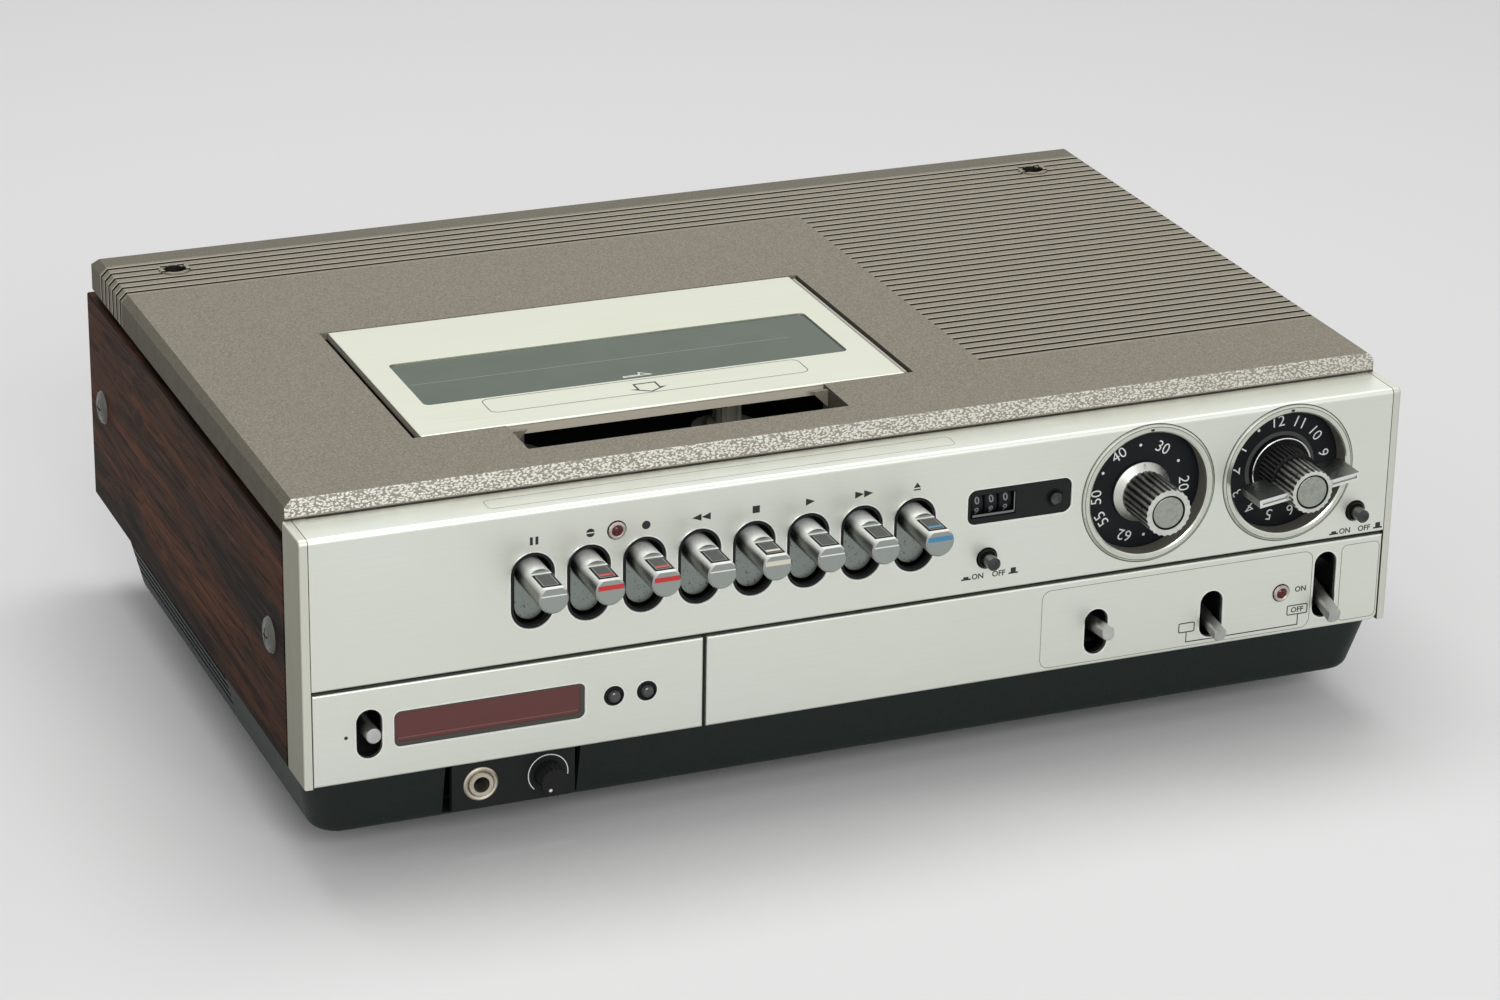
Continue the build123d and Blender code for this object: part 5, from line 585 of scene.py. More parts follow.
# painted shade on the sides and undersides of the levers
levers.shade_sides((0.20, 0.20, 0.19), 0.75)
dress(levers, "timer_select_lever", "rec_select_lever", "video_tv_lever", "power_lever")
rings = metal("polished_ring", (0.61, 0.635, 0.56), 0.2, 300.0, 0.000005, 0.2, 0.5)
# painted reflection and shade in the bore: taupe, rougher and less metallic
bore = rings.by_depth(-0.2, 0.5)
rings.tint(bore, (0.21, 0.195, 0.165))
rings.vary("Roughness", bore, 0.2, 0.55)
rings.vary("Metallic", bore, 1.0, 0.35)
dress(rings, "dial_rings")
screws = metal("nickel_screw", (0.115, 0.115, 0.105), 0.26, edges=0.15)
screws.feed(screws.sockets["Metallic"], 0.55)
screws.feed(screws.sockets["Specular IOR Level"], 0.15)
dress(screws, "side_screws")
dress(metal("jack_nickel", (0.50, 0.46, 0.38), 0.34), "mic_jack", "phono_sockets")
dress(metal("zinc_sheet", (0.27, 0.27, 0.255), 0.42, 120.0),
      "lift_brackets", "key_bracket", "tuners", "cassette_carriage", "lift_arms_outer", "lift_arms_inner")
dress(metal("cast_deck", (0.30, 0.30, 0.29), 0.5, 260.0, 0.0001), "deck_plate")
dress(metal("machined_drum", (0.66, 0.66, 0.66), 0.2, edges=0.1), "upper_drum")
print("metals finished")

# %% [markdown]
# The inner frame, rear panel and transformer are painted steel. The aerial sockets stand on
# a black strip and only their posts are metal, so depth tells the posts from the strip. The
# reel tables are ivory plastic.

# %% Chassis, terminals and reels
chassis = Finish("chassis_black_paint", (0.034, 0.035, 0.034), 0.5, Specular_IOR_Level=0.25)
chassis.bump(chassis.group(grain, Fineness=900.0)["Hills"], 0.0001, 0.5)
chassis.tint(chassis.group(wear_and_shade, Amount=1.0)["Edges"], (0.2, 0.2, 0.2), 0.04)
dress(chassis, "inner_frame", "rear_panel", "power_transformer")
TERMINAL_FACE = 302.6
strip = moulded_black("terminal_strip_black", (0.010, 0.011, 0.011), 0.45, 1400.0, 0.00005)
posts = strip.by_depth(TERMINAL_FACE + 0.3, TERMINAL_FACE + 0.5)
strip.tint(posts, (0.52, 0.50, 0.44))
strip.vary("Metallic", posts, 0.0, 1.0)
dress(strip, "rear_terminals")
reel = Finish("ivory_reel", (0.5, 0.48, 0.4), 0.4)
reel.bump(reel.group(grain, Fineness=600.0)["Hills"], 0.00005, 0.4)
dress(reel, "supply_reel", "take_up_reel")
print("chassis, terminals and reels finished")

# %% [markdown]
# ** Flutes.** The tuner knobs are ribbed like coins. The angle about the spindle, counted in
# flutes, tells valley from ridge, so the valleys can get painted shade and the ridges painted highlights.

# %% Flute group
flutes, start, end = new_group(
    "flutes", {"Across": 0.0, "Up": 0.0, "Count": 24.0}, ("Valley", "Radius", "Depth"))
spot = flutes.position()
across = flutes.math("SUBTRACT", spot["X"], start["Across"])
rise = flutes.math("SUBTRACT", spot["Z"], start["Up"])
angle = flutes.math("DIVIDE", flutes.math("ARCTAN2", rise, across), 2 * math.pi)
part = flutes.math("FRACT", flutes.math("MULTIPLY", angle, start["Count"]))
off_ridge = flutes.math("ABSOLUTE", flutes.math("SUBTRACT", part, 0.5))
flutes.feed(end["Valley"], flutes.math("MULTIPLY", off_ridge, 2.0))
squares = [flutes.math("POWER", side, 2.0) for side in (across, rise)]
flutes.feed(end["Radius"], flutes.math("SQRT", flutes.math("ADD", *squares)))
flutes.feed(end["Depth"], flutes.math("SUBTRACT", spot["Y"], FACE_Y))
print("group", flutes.tree.name)

# %% [markdown]
# The VHF knob carries two flat wings. They are the part that reaches past the flutes and
# stands in front of the panel: a painted reflection makes them dark above and below, where
# they mirror the room, and a painted highlight makes them bright on their front edge. The fine
# tuning sleeve behind that knob is black and fluted.

# %% Fluted knobs
DIALS = {"uhf": (116.2, 68.6), "vhf": (177.5, 69.7)}
FLUTE_MIDDLE = {"uhf": 9.35, "vhf": 8.675}
FLUTE_COUNT = 24
SLEEVE_FLUTES = 36
SLEEVE_RADIUS = 10.2
WING_START = 10.3
WING_BACK = -1.8


def fluted(finish, place, count, radius, dark, bright):
    """Paints shade in the flute valleys and highlights on the ridges of the round wall of a knob, on both
    sides of a middle radius.
    """
    spindle = at(place[0], 0, place[1])
    drawn = finish.group(flutes, Across=spindle.x, Up=spindle.z, Count=float(count))
    wall = finish.product(
        finish.facing_front(0.7, 0.5),
        finish.ramp(drawn["Radius"], (radius - 0.8) * MM, (radius - 0.6) * MM),
        finish.ramp(drawn["Radius"], (radius + 0.8) * MM, (radius + 0.6) * MM),
    )
    valley = finish.ramp(drawn["Valley"], 0.35, 0.62)
    ridge = finish.ramp(drawn["Valley"], 0.3, 0.12)
    # painted shade in the valleys and painted highlights on the ridges
    finish.tint(finish.product(valley, wall), dark, 0.95)
    finish.tint(finish.product(ridge, wall), bright, 0.9)
    return drawn


for name, place in DIALS.items():
    knob = metal("turned_aluminium_" + name, (0.60, 0.61, 0.57), 0.24, edges=0.5, hollows=0.3)
    drawn = fluted(knob, place, FLUTE_COUNT, FLUTE_MIDDLE[name], (0.035, 0.037, 0.034), (0.72, 0.73, 0.69))
    wing = knob.product(
        knob.ramp(drawn["Radius"], WING_START * MM, (WING_START + 0.2) * MM),
        knob.ramp(drawn["Depth"], WING_BACK * MM, (WING_BACK - 0.4) * MM),
    )
    flat = knob.facing_front(0.6, 0.4)
    # painted reflection: the flat faces of the wings are dark
    knob.tint(knob.product(wing, flat), (0.14, 0.15, 0.14), 0.93)
    # painted highlight on the front edge of the wings
    knob.tint(knob.product(wing, knob.math("SUBTRACT", 1.0, flat)), (0.80, 0.81, 0.77), 0.9)
    dress(knob, name + "_knob")
sleeve = moulded_black("tuner_sleeve_black", (0.010, 0.010, 0.011), 0.3, 1600.0, 0.00002, 0.05)
fluted(sleeve, DIALS["vhf"], SLEEVE_FLUTES, SLEEVE_RADIUS, (0.004, 0.004, 0.005), (0.10, 0.105, 0.10))
dress(sleeve, "vhf_fine_tuner")
print("fluted knobs finished")

# %% [markdown]
# ## Lid and its window
# The lid is champagne aluminium, lightly brushed. Below the plate its front lip turns from
# metal to a plain taupe. The windows are dark acrylic with some dust.

# %% Lid
lid = brushed("champagne_lid", (0.705, 0.725, 0.62), 0.40, (0.03, 1, 1), 600.0)
lip = lid.by_height(COVER_TOP - 0.7, COVER_TOP - 1.1)
lid.tint(lip, (0.66, 0.60, 0.49), 0.95)
lid.vary("Metallic", lip, 1.0, 0.0)
dress(lid, "lid_plate")
smoke = Finish("smoked_acrylic", (0.058, 0.088, 0.058), 0.12, 0.0, Specular_IOR_Level=0.25)
smoke.tint(smoke.group(wear_and_shade, Amount=1.0)["Dust"], (0.12, 0.145, 0.115), 0.3)
dress(smoke, "lid_window")
display = Finish("display_window_red", (0.108, 0.030, 0.027), 0.16, 0.0, Specular_IOR_Level=0.4)
display.tint(display.group(grain, Fineness=500.0)["Specks"], (0.14, 0.045, 0.04), 0.3)
dress(display, "timer_window")
lens = Finish("lamp_lens_red", (0.085, 0.010, 0.010), 0.1, 0.0, Specular_IOR_Level=0.35)
lens.tint(lens.group(grain, Fineness=900.0)["Specks"], (0.14, 0.02, 0.02), 0.5)
dress(lens, "indicator_lamps")
print("lid and windows finished")

# %% [markdown]
# Each key is one lever of plated steel: a crown lit by a painted highlight, flanks in painted shade and a
# grey round tip.
# Behind the panel it widens to a cast block, which has a flecked grey skin.

# %% Keys
KEY_BLOCK_DEPTH = 3.0
keys = metal("key_satin_silver", (0.56, 0.575, 0.545), 0.25, 700.0, 0.00002, hollows=0.25)
# painted shade on the flanks and underside of each key
keys.shade_sides((0.15, 0.155, 0.145), 0.85, 0.3, 0.95)
# painted highlight on the crown: lighter and less metallic on top
crown_highlight = keys.ramp(keys.normals()["Z"], 0.35, 0.8)
keys.tint(crown_highlight, (0.86, 0.87, 0.84), 0.9)
keys.vary("Metallic", crown_highlight, 1.0, 0.25)
keys.tint(keys.ramp(keys.normals()["Y"], -0.9, -0.98), (0.315, 0.345, 0.32), 0.95)
behind = keys.by_depth(KEY_BLOCK_DEPTH, KEY_BLOCK_DEPTH + 0.6)
keys.tint(behind, (0.235, 0.265, 0.245))
keys.tint(keys.product(keys.group(grain, Fineness=620.0)["Specks"], behind), (0.07, 0.08, 0.075))
NOT_KEYS = ("key_bracket", "key_escutcheon")
dress(keys, *[name for name in NODES if name.startswith("key_") and name not in NOT_KEYS])
print("keys finished")

# %% [markdown]
# ## Small added pieces
# Printed marks are flat sheets a few hundredths of a millimetre thick. Each is drawn as
# closed outlines in millimetres, turned into a mesh, and laid on its panel. A sheet that
# faces the front has its own x to the right and its y up; one on top has y to the back.

# %% Flat shapes
INK = 0.05  # thickness of a printed mark
SUNK = 0.02  # how far a mark reaches into its panel, so that no gap shows


def into_mesh(data):
    """The mesh of a curve or of letters, in its own units."""
    holder = bpy.data.objects.new("holder", data)
    bpy.context.scene.collection.objects.link(holder)
    bpy.context.view_layer.update()
    solid = holder.evaluated_get(bpy.context.evaluated_depsgraph_get())
    mesh = bpy.data.meshes.new_from_object(solid)
    bpy.data.objects.remove(holder)
    return mesh


def sheet(*loops, thickness=INK):
    """A thin flat mesh; a loop drawn inside another cuts a hole."""
    curve = bpy.data.curves.new("outline", "CURVE")
    curve.dimensions = "2D"
    curve.fill_mode = "BOTH"
    curve.extrude = thickness / 2
    for loop in loops:
        spline = curve.splines.new("POLY")
        spline.points.add(len(loop) - 1)
        for point, (x, y) in zip(spline.points, loop):
            point.co = (x, y, 0, 1)
        spline.use_cyclic_u = True
    mesh = into_mesh(curve)
    mesh.transform(Matrix.Translation((0, 0, thickness / 2 - SUNK)))
    return mesh


def lettering(text, height, heavy=0.022):
    """Digits or letters of a given height in millimetres, centred on the origin."""
    curve = bpy.data.curves.new("lettering", "FONT")
    curve.body = text
    curve.resolution_u = 3
    curve.offset = heavy
    curve.extrude = 0.5
    mesh = into_mesh(curve)
    low = [min(v.co[i] for v in mesh.vertices) for i in range(3)]
    high = [max(v.co[i] for v in mesh.vertices) for i in range(3)]
    size = height / (high[1] - low[1])
    mesh.transform(Matrix.Translation((-(low[0] + high[0]) / 2, -(low[1] + high[1]) / 2, 0)))
    mesh.transform(Matrix.Translation((0, 0, INK / 2 - SUNK)) @ Matrix.Diagonal((size, size, INK, 1)))
    return mesh


def disc(radius, steps=28):
    return [(radius * math.cos(2 * math.pi * k / steps), radius * math.sin(2 * math.pi * k / steps))
            for k in range(steps)]


def box_round(width, height, radius=0.0, steps=6):
    """Corner points of a rounded rectangle about its middle, counter-clockwise."""
    points = []
    for across, up, start in ((1, 1, 0), (-1, 1, 90), (-1, -1, 180), (1, -1, 270)):
        for step in range(steps + 1 if radius else 1):
            angle = math.radians(start + 90 * step / steps)
            points.append((across * (width / 2 - radius) + radius * math.cos(angle) * bool(radius),
                           up * (height / 2 - radius) + radius * math.sin(angle) * bool(radius)))
    return points


def moved(points, across, up):
    return [(x + across, y + up) for x, y in points]


def shifted(points, distance, closed=True):
    """The same outline pushed to its left by a distance, with mitred corners."""
    result = []
    for index, here in enumerate(points):
        sides = []
        if closed or index > 0:
            sides.append(Vector(here) - Vector(points[index - 1]))
        if closed or index < len(points) - 1:
            sides.append(Vector(points[(index + 1) % len(points)]) - Vector(here))
        left = [Vector((-side.y, side.x)).normalized() for side in sides]
        mitre = sum(left, Vector((0, 0))).normalized()
        reach = distance / max(0.3, mitre.dot(left[0]))
        result.append((here[0] + mitre.x * reach, here[1] + mitre.y * reach))
    return result


def outline(points, width):
    """A closed line of a given width, just inside the points."""
    return points, shifted(points, width)


def stroke(points, width):
    """An open line of a given width along the points."""
    return shifted(points, width / 2, False) + shifted(points, -width / 2, False)[::-1]


print("flat shapes ready")

# %% [markdown]
# Round pieces come from a lathe profile of (radius, rise) pairs, and pads are slabs with a
# bevelled top. Every piece is then laid in place, joined and told which body carries it.

# %% Solid shapes and placing
FRONT = Matrix(((1, 0, 0, 0), (0, 0, -1, 0), (0, 1, 0, 0), (0, 0, 0, 1)))
TOP = Matrix.Identity(4)
CREASE = 0.6  # radians; a sharper edge stays hard


def crisp(shape, name):
    """Closes a bmesh into a mesh, smooth but for its sharp edges."""
    bmesh.ops.remove_doubles(shape, verts=shape.verts, dist=1e-5)
    bmesh.ops.recalc_face_normals(shape, faces=shape.faces)
    for face in shape.faces:
        face.smooth = True
    for edge in shape.edges:
        edge.smooth = edge.calc_face_angle(0.0) < CREASE
    mesh = bpy.data.meshes.new(name)
    shape.to_mesh(mesh)
    shape.free()
    return mesh


def turned(profile, steps=72):
    """A lathe shape about its own z axis, from a closed profile."""
    shape = bmesh.new()
    rows = []
    for step in range(steps):
        angle = 2 * math.pi * step / steps
        rows.append([shape.verts.new((r * math.cos(angle), r * math.sin(angle), z)) for r, z in profile])
    for step in range(steps):
        here, after = rows[step], rows[(step + 1) % steps]
        for index in range(len(profile)):
            other = (index + 1) % len(profile)
            shape.faces.new((here[index], after[index], after[other], here[other]))
    return crisp(shape, "turned")


def slab(width, height, radius, thickness, bevel):
    """A rounded block that stands on z = 0, with a bevelled top edge."""
    shape = bmesh.new()
    levels = ((0.0, 0.0), (thickness - bevel, 0.0), (thickness, bevel))
    rows = [[shape.verts.new((x, y, rise)) for x, y in
             box_round(width - 2 * inset, height - 2 * inset, radius - inset)] for rise, inset in levels]
    for lower, upper in zip(rows, rows[1:]):
        for index in range(len(lower)):
            other = (index + 1) % len(lower)
            shape.faces.new((lower[index], lower[other], upper[other], upper[index]))
    shape.faces.new(rows[0][::-1])
    shape.faces.new(rows[-1])
    return crisp(shape, "slab")


def lay(mesh, x, depth, height, turn=0.0, facing=FRONT):
    """Scales a mesh from millimetres and puts its origin in place, turned clockwise."""
    mesh.transform(Matrix.Translation(at(x, depth, height)) @ facing
                   @ Matrix.Rotation(math.radians(-turn), 4, "Z") @ Matrix.Diagonal((MM, MM, MM, 1)))
    return mesh


def piece(name, meshes, finish, body="cabinet"):
    """Joins laid meshes into one named piece that rides on a body."""
    joined = bmesh.new()
    for mesh in meshes:
        joined.from_mesh(mesh)
        bpy.data.meshes.remove(mesh)
    data = bpy.data.meshes.new(name)
    joined.to_mesh(data)
    joined.free()
    obj = bpy.data.objects.new(name, data)
    bpy.context.scene.collection.objects.link(obj)
    data.materials.append(finish.material)
    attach(obj, body)


def mark(name, mesh, x, depth, height, finish, body="cabinet", facing=FRONT):
    """A piece made of one mesh, laid in place."""
    piece(name, [lay(mesh, x, depth, height, facing=facing)], finish, body)


print("piece helpers ready")

# %% [markdown]
# Screen inks and enamels share one recipe: a flat colour, thinned in small spots where
# fingers have rubbed it.

# %% Inks


def ink(name, colour, roughness=0.5, rub=0.35):
    finish = Finish(name, colour, roughness)
    spots = finish.noise((1, 1, 1), 1500.0, 3.0, 0.6)
    finish.tint(finish.ramp(spots, 0.55, 0.75), tuple(0.6 * c + 0.12 for c in colour), rub)
    return finish


dark_ink = ink("ink_charcoal", (0.006, 0.006, 0.007), 0.5, 0.05)
grey_ink = ink("ink_grey_line", (0.15, 0.15, 0.135))
white_ink = ink("ink_dial_white", (0.80, 0.82, 0.80), 0.5, 0.15)
counter_ink = ink("ink_counter", (0.20, 0.215, 0.21), 0.5, 0.3)
red_enamel = ink("enamel_red", (0.52, 0.018, 0.022), 0.35, 0.15)
cream_enamel = ink("enamel_cream", (0.66, 0.63, 0.52), 0.35, 0.15)
blue_enamel = ink("enamel_blue", (0.05, 0.22, 0.40), 0.35, 0.15)
shadow_line = ink("line_olive_shadow", (0.085, 0.083, 0.065), 0.6, 0.2)
pale_line = ink("line_silver_white", (0.80, 0.80, 0.78), 0.3, 0.3)
print("inks", dark_ink.material.name, blue_enamel.material.name)

# %% [markdown]
# ## Keys
# Eight levers, each with its transport symbol on the fascia above it, a rubbed black pad
# on its flat top and a stripe across its round tip. Recording keys wear red.

# %% Transport symbols
KEY_FIRST = -137.2
KEY_PITCH = 22.0
SYMBOL_HEIGHT = 86.9
SYMBOL_SHIFT = 0.5
TRIANGLE = 3.7
ROUND = 1.7
SPLIT = 0.22
bar = box_round(1.15, 3.2)
right_arrow = [(-TRIANGLE / 2, -1.45), (TRIANGLE / 2, 0.0), (-TRIANGLE / 2, 1.45)]
left_arrow = [(-x, y) for x, y in reversed(right_arrow)]
up_arrow = [(-1.45, -0.55), (1.45, -0.55), (0.0, 1.55)]
upper_half = [p for p in disc(ROUND, 40) if p[1] > SPLIT]
lower_half = [p for p in disc(ROUND, 40) if p[1] < -SPLIT]
SYMBOLS = {
    "pause": (moved(bar, -1.08, 0), moved(bar, 1.08, 0)),
    "audio_dub": (upper_half, lower_half),
    "rec": (disc(ROUND),),
    "rew": (moved(left_arrow, -TRIANGLE / 2, 0), moved(left_arrow, TRIANGLE / 2, 0)),
    "stop": (box_round(2.9, 2.9),),
    "play": (right_arrow,),
    "fast_forward": (moved(right_arrow, -TRIANGLE / 2, 0), moved(right_arrow, TRIANGLE / 2, 0)),
    "eject": (up_arrow, moved(box_round(2.9, 0.55), 0, -1.35)),
}
for place, (name, loops) in enumerate(SYMBOLS.items()):
    x = KEY_FIRST + KEY_PITCH * place + SYMBOL_SHIFT
    flats = [lay(sheet(loop), x, 0, SYMBOL_HEIGHT) for loop in loops]
    piece("symbol_" + name, flats, dark_ink)
print("symbols", len(SYMBOLS))

# %% [markdown]
# A pad is a slab of black rubber with a rubbed grey face and a thin pale line of painted
# highlight round it. The stripe is a strip of enamel across the tip; the marked keys have a
# second one on the pad.

# %% Key pads and stripes
pad_black = moulded_black("pad_rubber_black", (0.006, 0.006, 0.006), 0.35, 1400.0, 0.00002, 0.05, 0.1)
pad_grey = moulded_black("pad_face_grey", (0.070, 0.074, 0.070), 0.5, 1800.0, 0.00002, 0.1)
pad_edge_highlight = ink("pad_edge_grey", (0.26, 0.27, 0.26), 0.4, 0.3)
PAD_FLOOR = 76.8
PAD_MIDDLE = -15.2
PAD_SIZE = (7.5, 11.5)
PAD_RISE = 0.75
PAD_TOP = PAD_FLOOR + PAD_RISE
TIP_DEPTH = -23.3
TIP_HEIGHT = 74.6
STRIPES = {
    "audio_dub": (red_enamel, "lamp_red"),
    "rec": (red_enamel, "lamp_red"),
    "stop": (cream_enamel, "reel_ivory"),
    "eject": (blue_enamel, "key_silver"),
}
for place, name in enumerate(SYMBOLS):
    x = KEY_FIRST + KEY_PITCH * place
    body = "key_" + name
    pad = slab(*PAD_SIZE, 0.7, PAD_RISE, 0.25)
    mark("pad_" + name, pad, x, PAD_MIDDLE, PAD_FLOOR, pad_black, body, TOP)
    face = slab(PAD_SIZE[0] - 2.1, PAD_SIZE[1] - 2.3, 0.3, 0.1, 0.03)
    mark("pad_face_" + name, face, x, PAD_MIDDLE, PAD_TOP - SUNK, pad_grey, body, TOP)
    # painted highlight: a thin pale line round the pad face
    line = sheet(*outline(box_round(PAD_SIZE[0] - 1.5, PAD_SIZE[1] - 1.7, 0.5, 4), 0.3))
    mark("pad_line_" + name, line, x, PAD_MIDDLE, PAD_TOP, pad_edge_highlight, body, TOP)
    stripe, slot = STRIPES.get(name, (pale_line, "key_silver"))
    tall = 1.9 if name in STRIPES else 0.5
    flats = [lay(sheet(box_round(10.0, tall, 0.2, 3)), x, TIP_DEPTH, TIP_HEIGHT)]
    if name in STRIPES:
        short = sheet(box_round(5.6, 1.6, 0.2, 3))
        flats.append(lay(short, x, PAD_MIDDLE - 2.8, PAD_TOP + 0.08, facing=TOP))
    piece("stripe_" + name, flats, stripe, body)
print("pads and stripes", len(SYMBOLS))

# %% [markdown]
# ## Switch marks
# The two push buttons have a small picture of the button in and out with ON and OFF beside
# it. A thin line links the boxes of two switches, and fine outlines group the controls.

# %% Switch marks
LETTER = 2.4
PUSHED = [(-2.0, -0.85), (2.0, -0.85), (2.0, -0.2), (1.1, -0.2), (1.1, 0.6), (-1.1, 0.6), (-1.1, -0.2),
          (-2.0, -0.2)]
STANDING = [(x, y + 1.1 if y > 0 else y) for x, y in PUSHED]
BUTTON_WORDS = {"search": (44.4, 53.6, 45.7), "aft": (205.5, 214.5, 41.4)}
for name, (on, off, height) in BUTTON_WORDS.items():
    flats = [
        lay(lettering("ON", LETTER), on - 0.4, 0, height),
        lay(lettering("OFF", LETTER), off - 0.6, 0, height),
        lay(sheet(PUSHED), on - 5.3, 0, height - 0.2),
        lay(sheet(STANDING), off + 5.6, 0, height - 0.2),
    ]
    piece("marks_" + name, flats, dark_ink)
OFF_PLACE = (185.9, 10.1)
EMPTY_BOX = (136.4, 9.8)
BOX_LINE = 0.45
link = [(EMPTY_BOX[0], 7.65), (EMPTY_BOX[0], 3.5), (186.3, 3.5), (186.3, 7.9)]
flats = [
    lay(lettering("ON", LETTER), 186.8, 0, 19.0),
    lay(lettering("OFF", LETTER), OFF_PLACE[0], 0, OFF_PLACE[1]),
    lay(sheet(*outline(box_round(9.4, 4.4, 0.7, 3), BOX_LINE)), OFF_PLACE[0], 0, OFF_PLACE[1]),
    lay(sheet(*outline(box_round(7.2, 4.3, 0.7, 3), BOX_LINE)), EMPTY_BOX[0], 0, EMPTY_BOX[1]),
    lay(sheet(stroke(link, BOX_LINE)), 0, 0, 0),
]
piece("marks_power", flats, dark_ink)
mark("mark_timer_dot", sheet(disc(0.72, 20)), -210.0, 0, 18.9, dark_ink)
HAIRLINE = 0.22
flats = [
    lay(sheet(*outline(box_round(119.4, 33.2, 4.0), HAIRLINE)), 131.9, 0, 18.3),
    lay(sheet(*outline(box_round(17.2, 33.0, 2.5), HAIRLINE)), 213.1, 0, 18.5),
]
piece("outlines_switches", flats, grey_ink)
ledge_line = sheet(*outline(box_round(188.0, 8.4, 2.0), HAIRLINE))
mark("outline_ledge", ledge_line, -58.0, 10.2, LEDGE_TOP, grey_ink, facing=TOP)
print("switch marks laid")

# %% [markdown]
# ## Dials
# Channel numbers stand around each dial with their heads outward, as on a clock whose
# digits turn with the hand. They ride on the selector, so the number at the top changes.

# %% Dial numbers
DIAL_FACE = 7.0
NUMBER_HEIGHT = 4.5
NUMBER_RADIUS = {"uhf": 19.1, "vhf": 19.9}
NUMBERS = {
    "uhf": {"30": 28.3, "20": 89.1, "62": -161.6, "55": -120.9, "50": -91.2, "40": -31.8},
    "vhf": {str(number): -4.1 + 27.7 * (12 - number) for number in range(1, 13)},
}
DOTS = {"uhf": (-2.4, 57.3, -60.4, 172.5, 118.0, 146.0), "vhf": (-31.0,)}


def around(dial, angle):
    """The point at a clockwise angle from the top of a dial."""
    x, height = DIALS[dial]
    turn = math.radians(angle)
    return x + NUMBER_RADIUS[dial] * math.sin(turn), height + NUMBER_RADIUS[dial] * math.cos(turn)


for dial, numbers in NUMBERS.items():
    flats = []
    for text, angle in numbers.items():
        x, height = around(dial, angle)
        flats.append(lay(lettering(text, NUMBER_HEIGHT, -0.004), x, DIAL_FACE, height, angle))
    for angle in DOTS[dial]:
        x, height = around(dial, angle)
        flats.append(lay(sheet(disc(0.62, 16)), x, DIAL_FACE, height))
    body = dial + "_selector"
    piece("numbers_" + body, flats, white_ink, body)
print("dial numbers laid")

# %% [markdown]
# The bright ring round each dial has two fine dark lines of painted shadow, one on the panel
# just outside it and one on its face, and a short mark at its top says which number is chosen.
# These stay still while the dial turns.

# %% Ring lines and pointers
BEZEL_HEIGHT = 70.2
BEZEL_FACE = -0.9
POINTER_RISE = 26.5
RING_LINES = ((28.95, 28.5, 0), (27.75, 27.5, BEZEL_FACE))
for name, (x, _) in DIALS.items():
    short = sheet(box_round(1.6, 0.9, 0.3, 3))
    mark("pointer_" + name, short, x, BEZEL_FACE, BEZEL_HEIGHT + POINTER_RISE, dark_ink)
    # two rings of painted shadow round each dial
    lines = [lay(sheet(disc(outer, 96), disc(inner, 96)), x, depth, BEZEL_HEIGHT)
             for outer, inner, depth in RING_LINES]
    piece("lines_ring_" + name, lines, shadow_line)
print("ring lines laid")

# %% [markdown]
# Each knob ends in a frosted cap that sits in a thin black seat. A bright ring edges the
# fine tuning sleeve, and a low grey step surrounds it on the VHF dial.

# %% Knob caps and ring line
frosted = metal("frosted_cap", (0.345, 0.365, 0.325), 0.45, 420.0, 0.00003, 0.2, 0.0)
mottle = frosted.noise((1, 1, 1), 420.0, 5.0, 0.7)
frosted.tint(frosted.ramp(mottle, 0.48, 0.66), (0.235, 0.25, 0.22), 0.6)
bright = metal("bright_line", (0.86, 0.86, 0.83), 0.16, 300.0, 0.000005)
KNOB_TIP = {"uhf": -17.3, "vhf": -20.0}
CAP_SUNK = 0.6
SLEEVE_FACE = 4.9
CAP = [(0.0, 0.0), (6.35, 0.0), (6.35, 0.35), (6.15, 0.5), (0.0, 0.56)]
SEAT = [(6.38, 0.0), (7.08, 0.0), (7.08, 0.42), (6.75, 0.48), (6.38, 0.42)]
SLEEVE_RING = [(12.55, -0.02), (13.2, -0.02), (13.2, 0.12), (12.9, 0.25), (12.55, 0.12)]
DIAL_STEP = [(13.6, -0.02), (15.4, -0.02), (15.3, 0.12), (13.7, 0.15)]
for name, (x, height) in DIALS.items():
    body = name + "_selector"
    depth = KNOB_TIP[name] + CAP_SUNK
    mark("cap_" + name, turned(CAP), x, depth, height, frosted, body)
    mark("seat_" + name, turned(SEAT), x, depth, height, pad_black, body)
x, height = DIALS["vhf"]
mark("ring_fine_tuner", turned(SLEEVE_RING), x, SLEEVE_FACE, height, bright, "vhf_fine_tuner")
mark("step_dial_vhf", turned(DIAL_STEP), x, DIAL_FACE, height, pad_grey, "vhf_selector")
print("caps and rings laid")

# %% [markdown]
# ## Counter
# Three number wheels. Their digits are wrapped around the rim, one every 36 degrees, and
# the next higher one comes down from above as a wheel turns.

# %% Counter digits
WHEEL_DEPTH = 9.6
WHEEL_HEIGHT = 74.4
WHEEL_RADIUS = 7.2
WHEEL_X = {"hundreds": 43.8, "tens": 49.8, "units": 55.8}
DIGIT_HEIGHT = 3.1
DIGIT_STEP = 36
BETWEEN = 15.0
for name, x in WHEEL_X.items():
    flats = []
    for digit in range(10):
        mesh = lettering(str(digit), DIGIT_HEIGHT)
        for vertex in mesh.vertices:
            across, up, proud = vertex.co
            angle = math.radians(DIGIT_STEP * digit + BETWEEN) + up / WHEEL_RADIUS
            reach = WHEEL_RADIUS + proud
            vertex.co = at(x + across, WHEEL_DEPTH - reach * math.cos(angle),
                           WHEEL_HEIGHT + reach * math.sin(angle))
        flats.append(mesh)
    piece("digits_" + name, flats, counter_ink, "counter_" + name)
COUNTER_FACE = 0.5
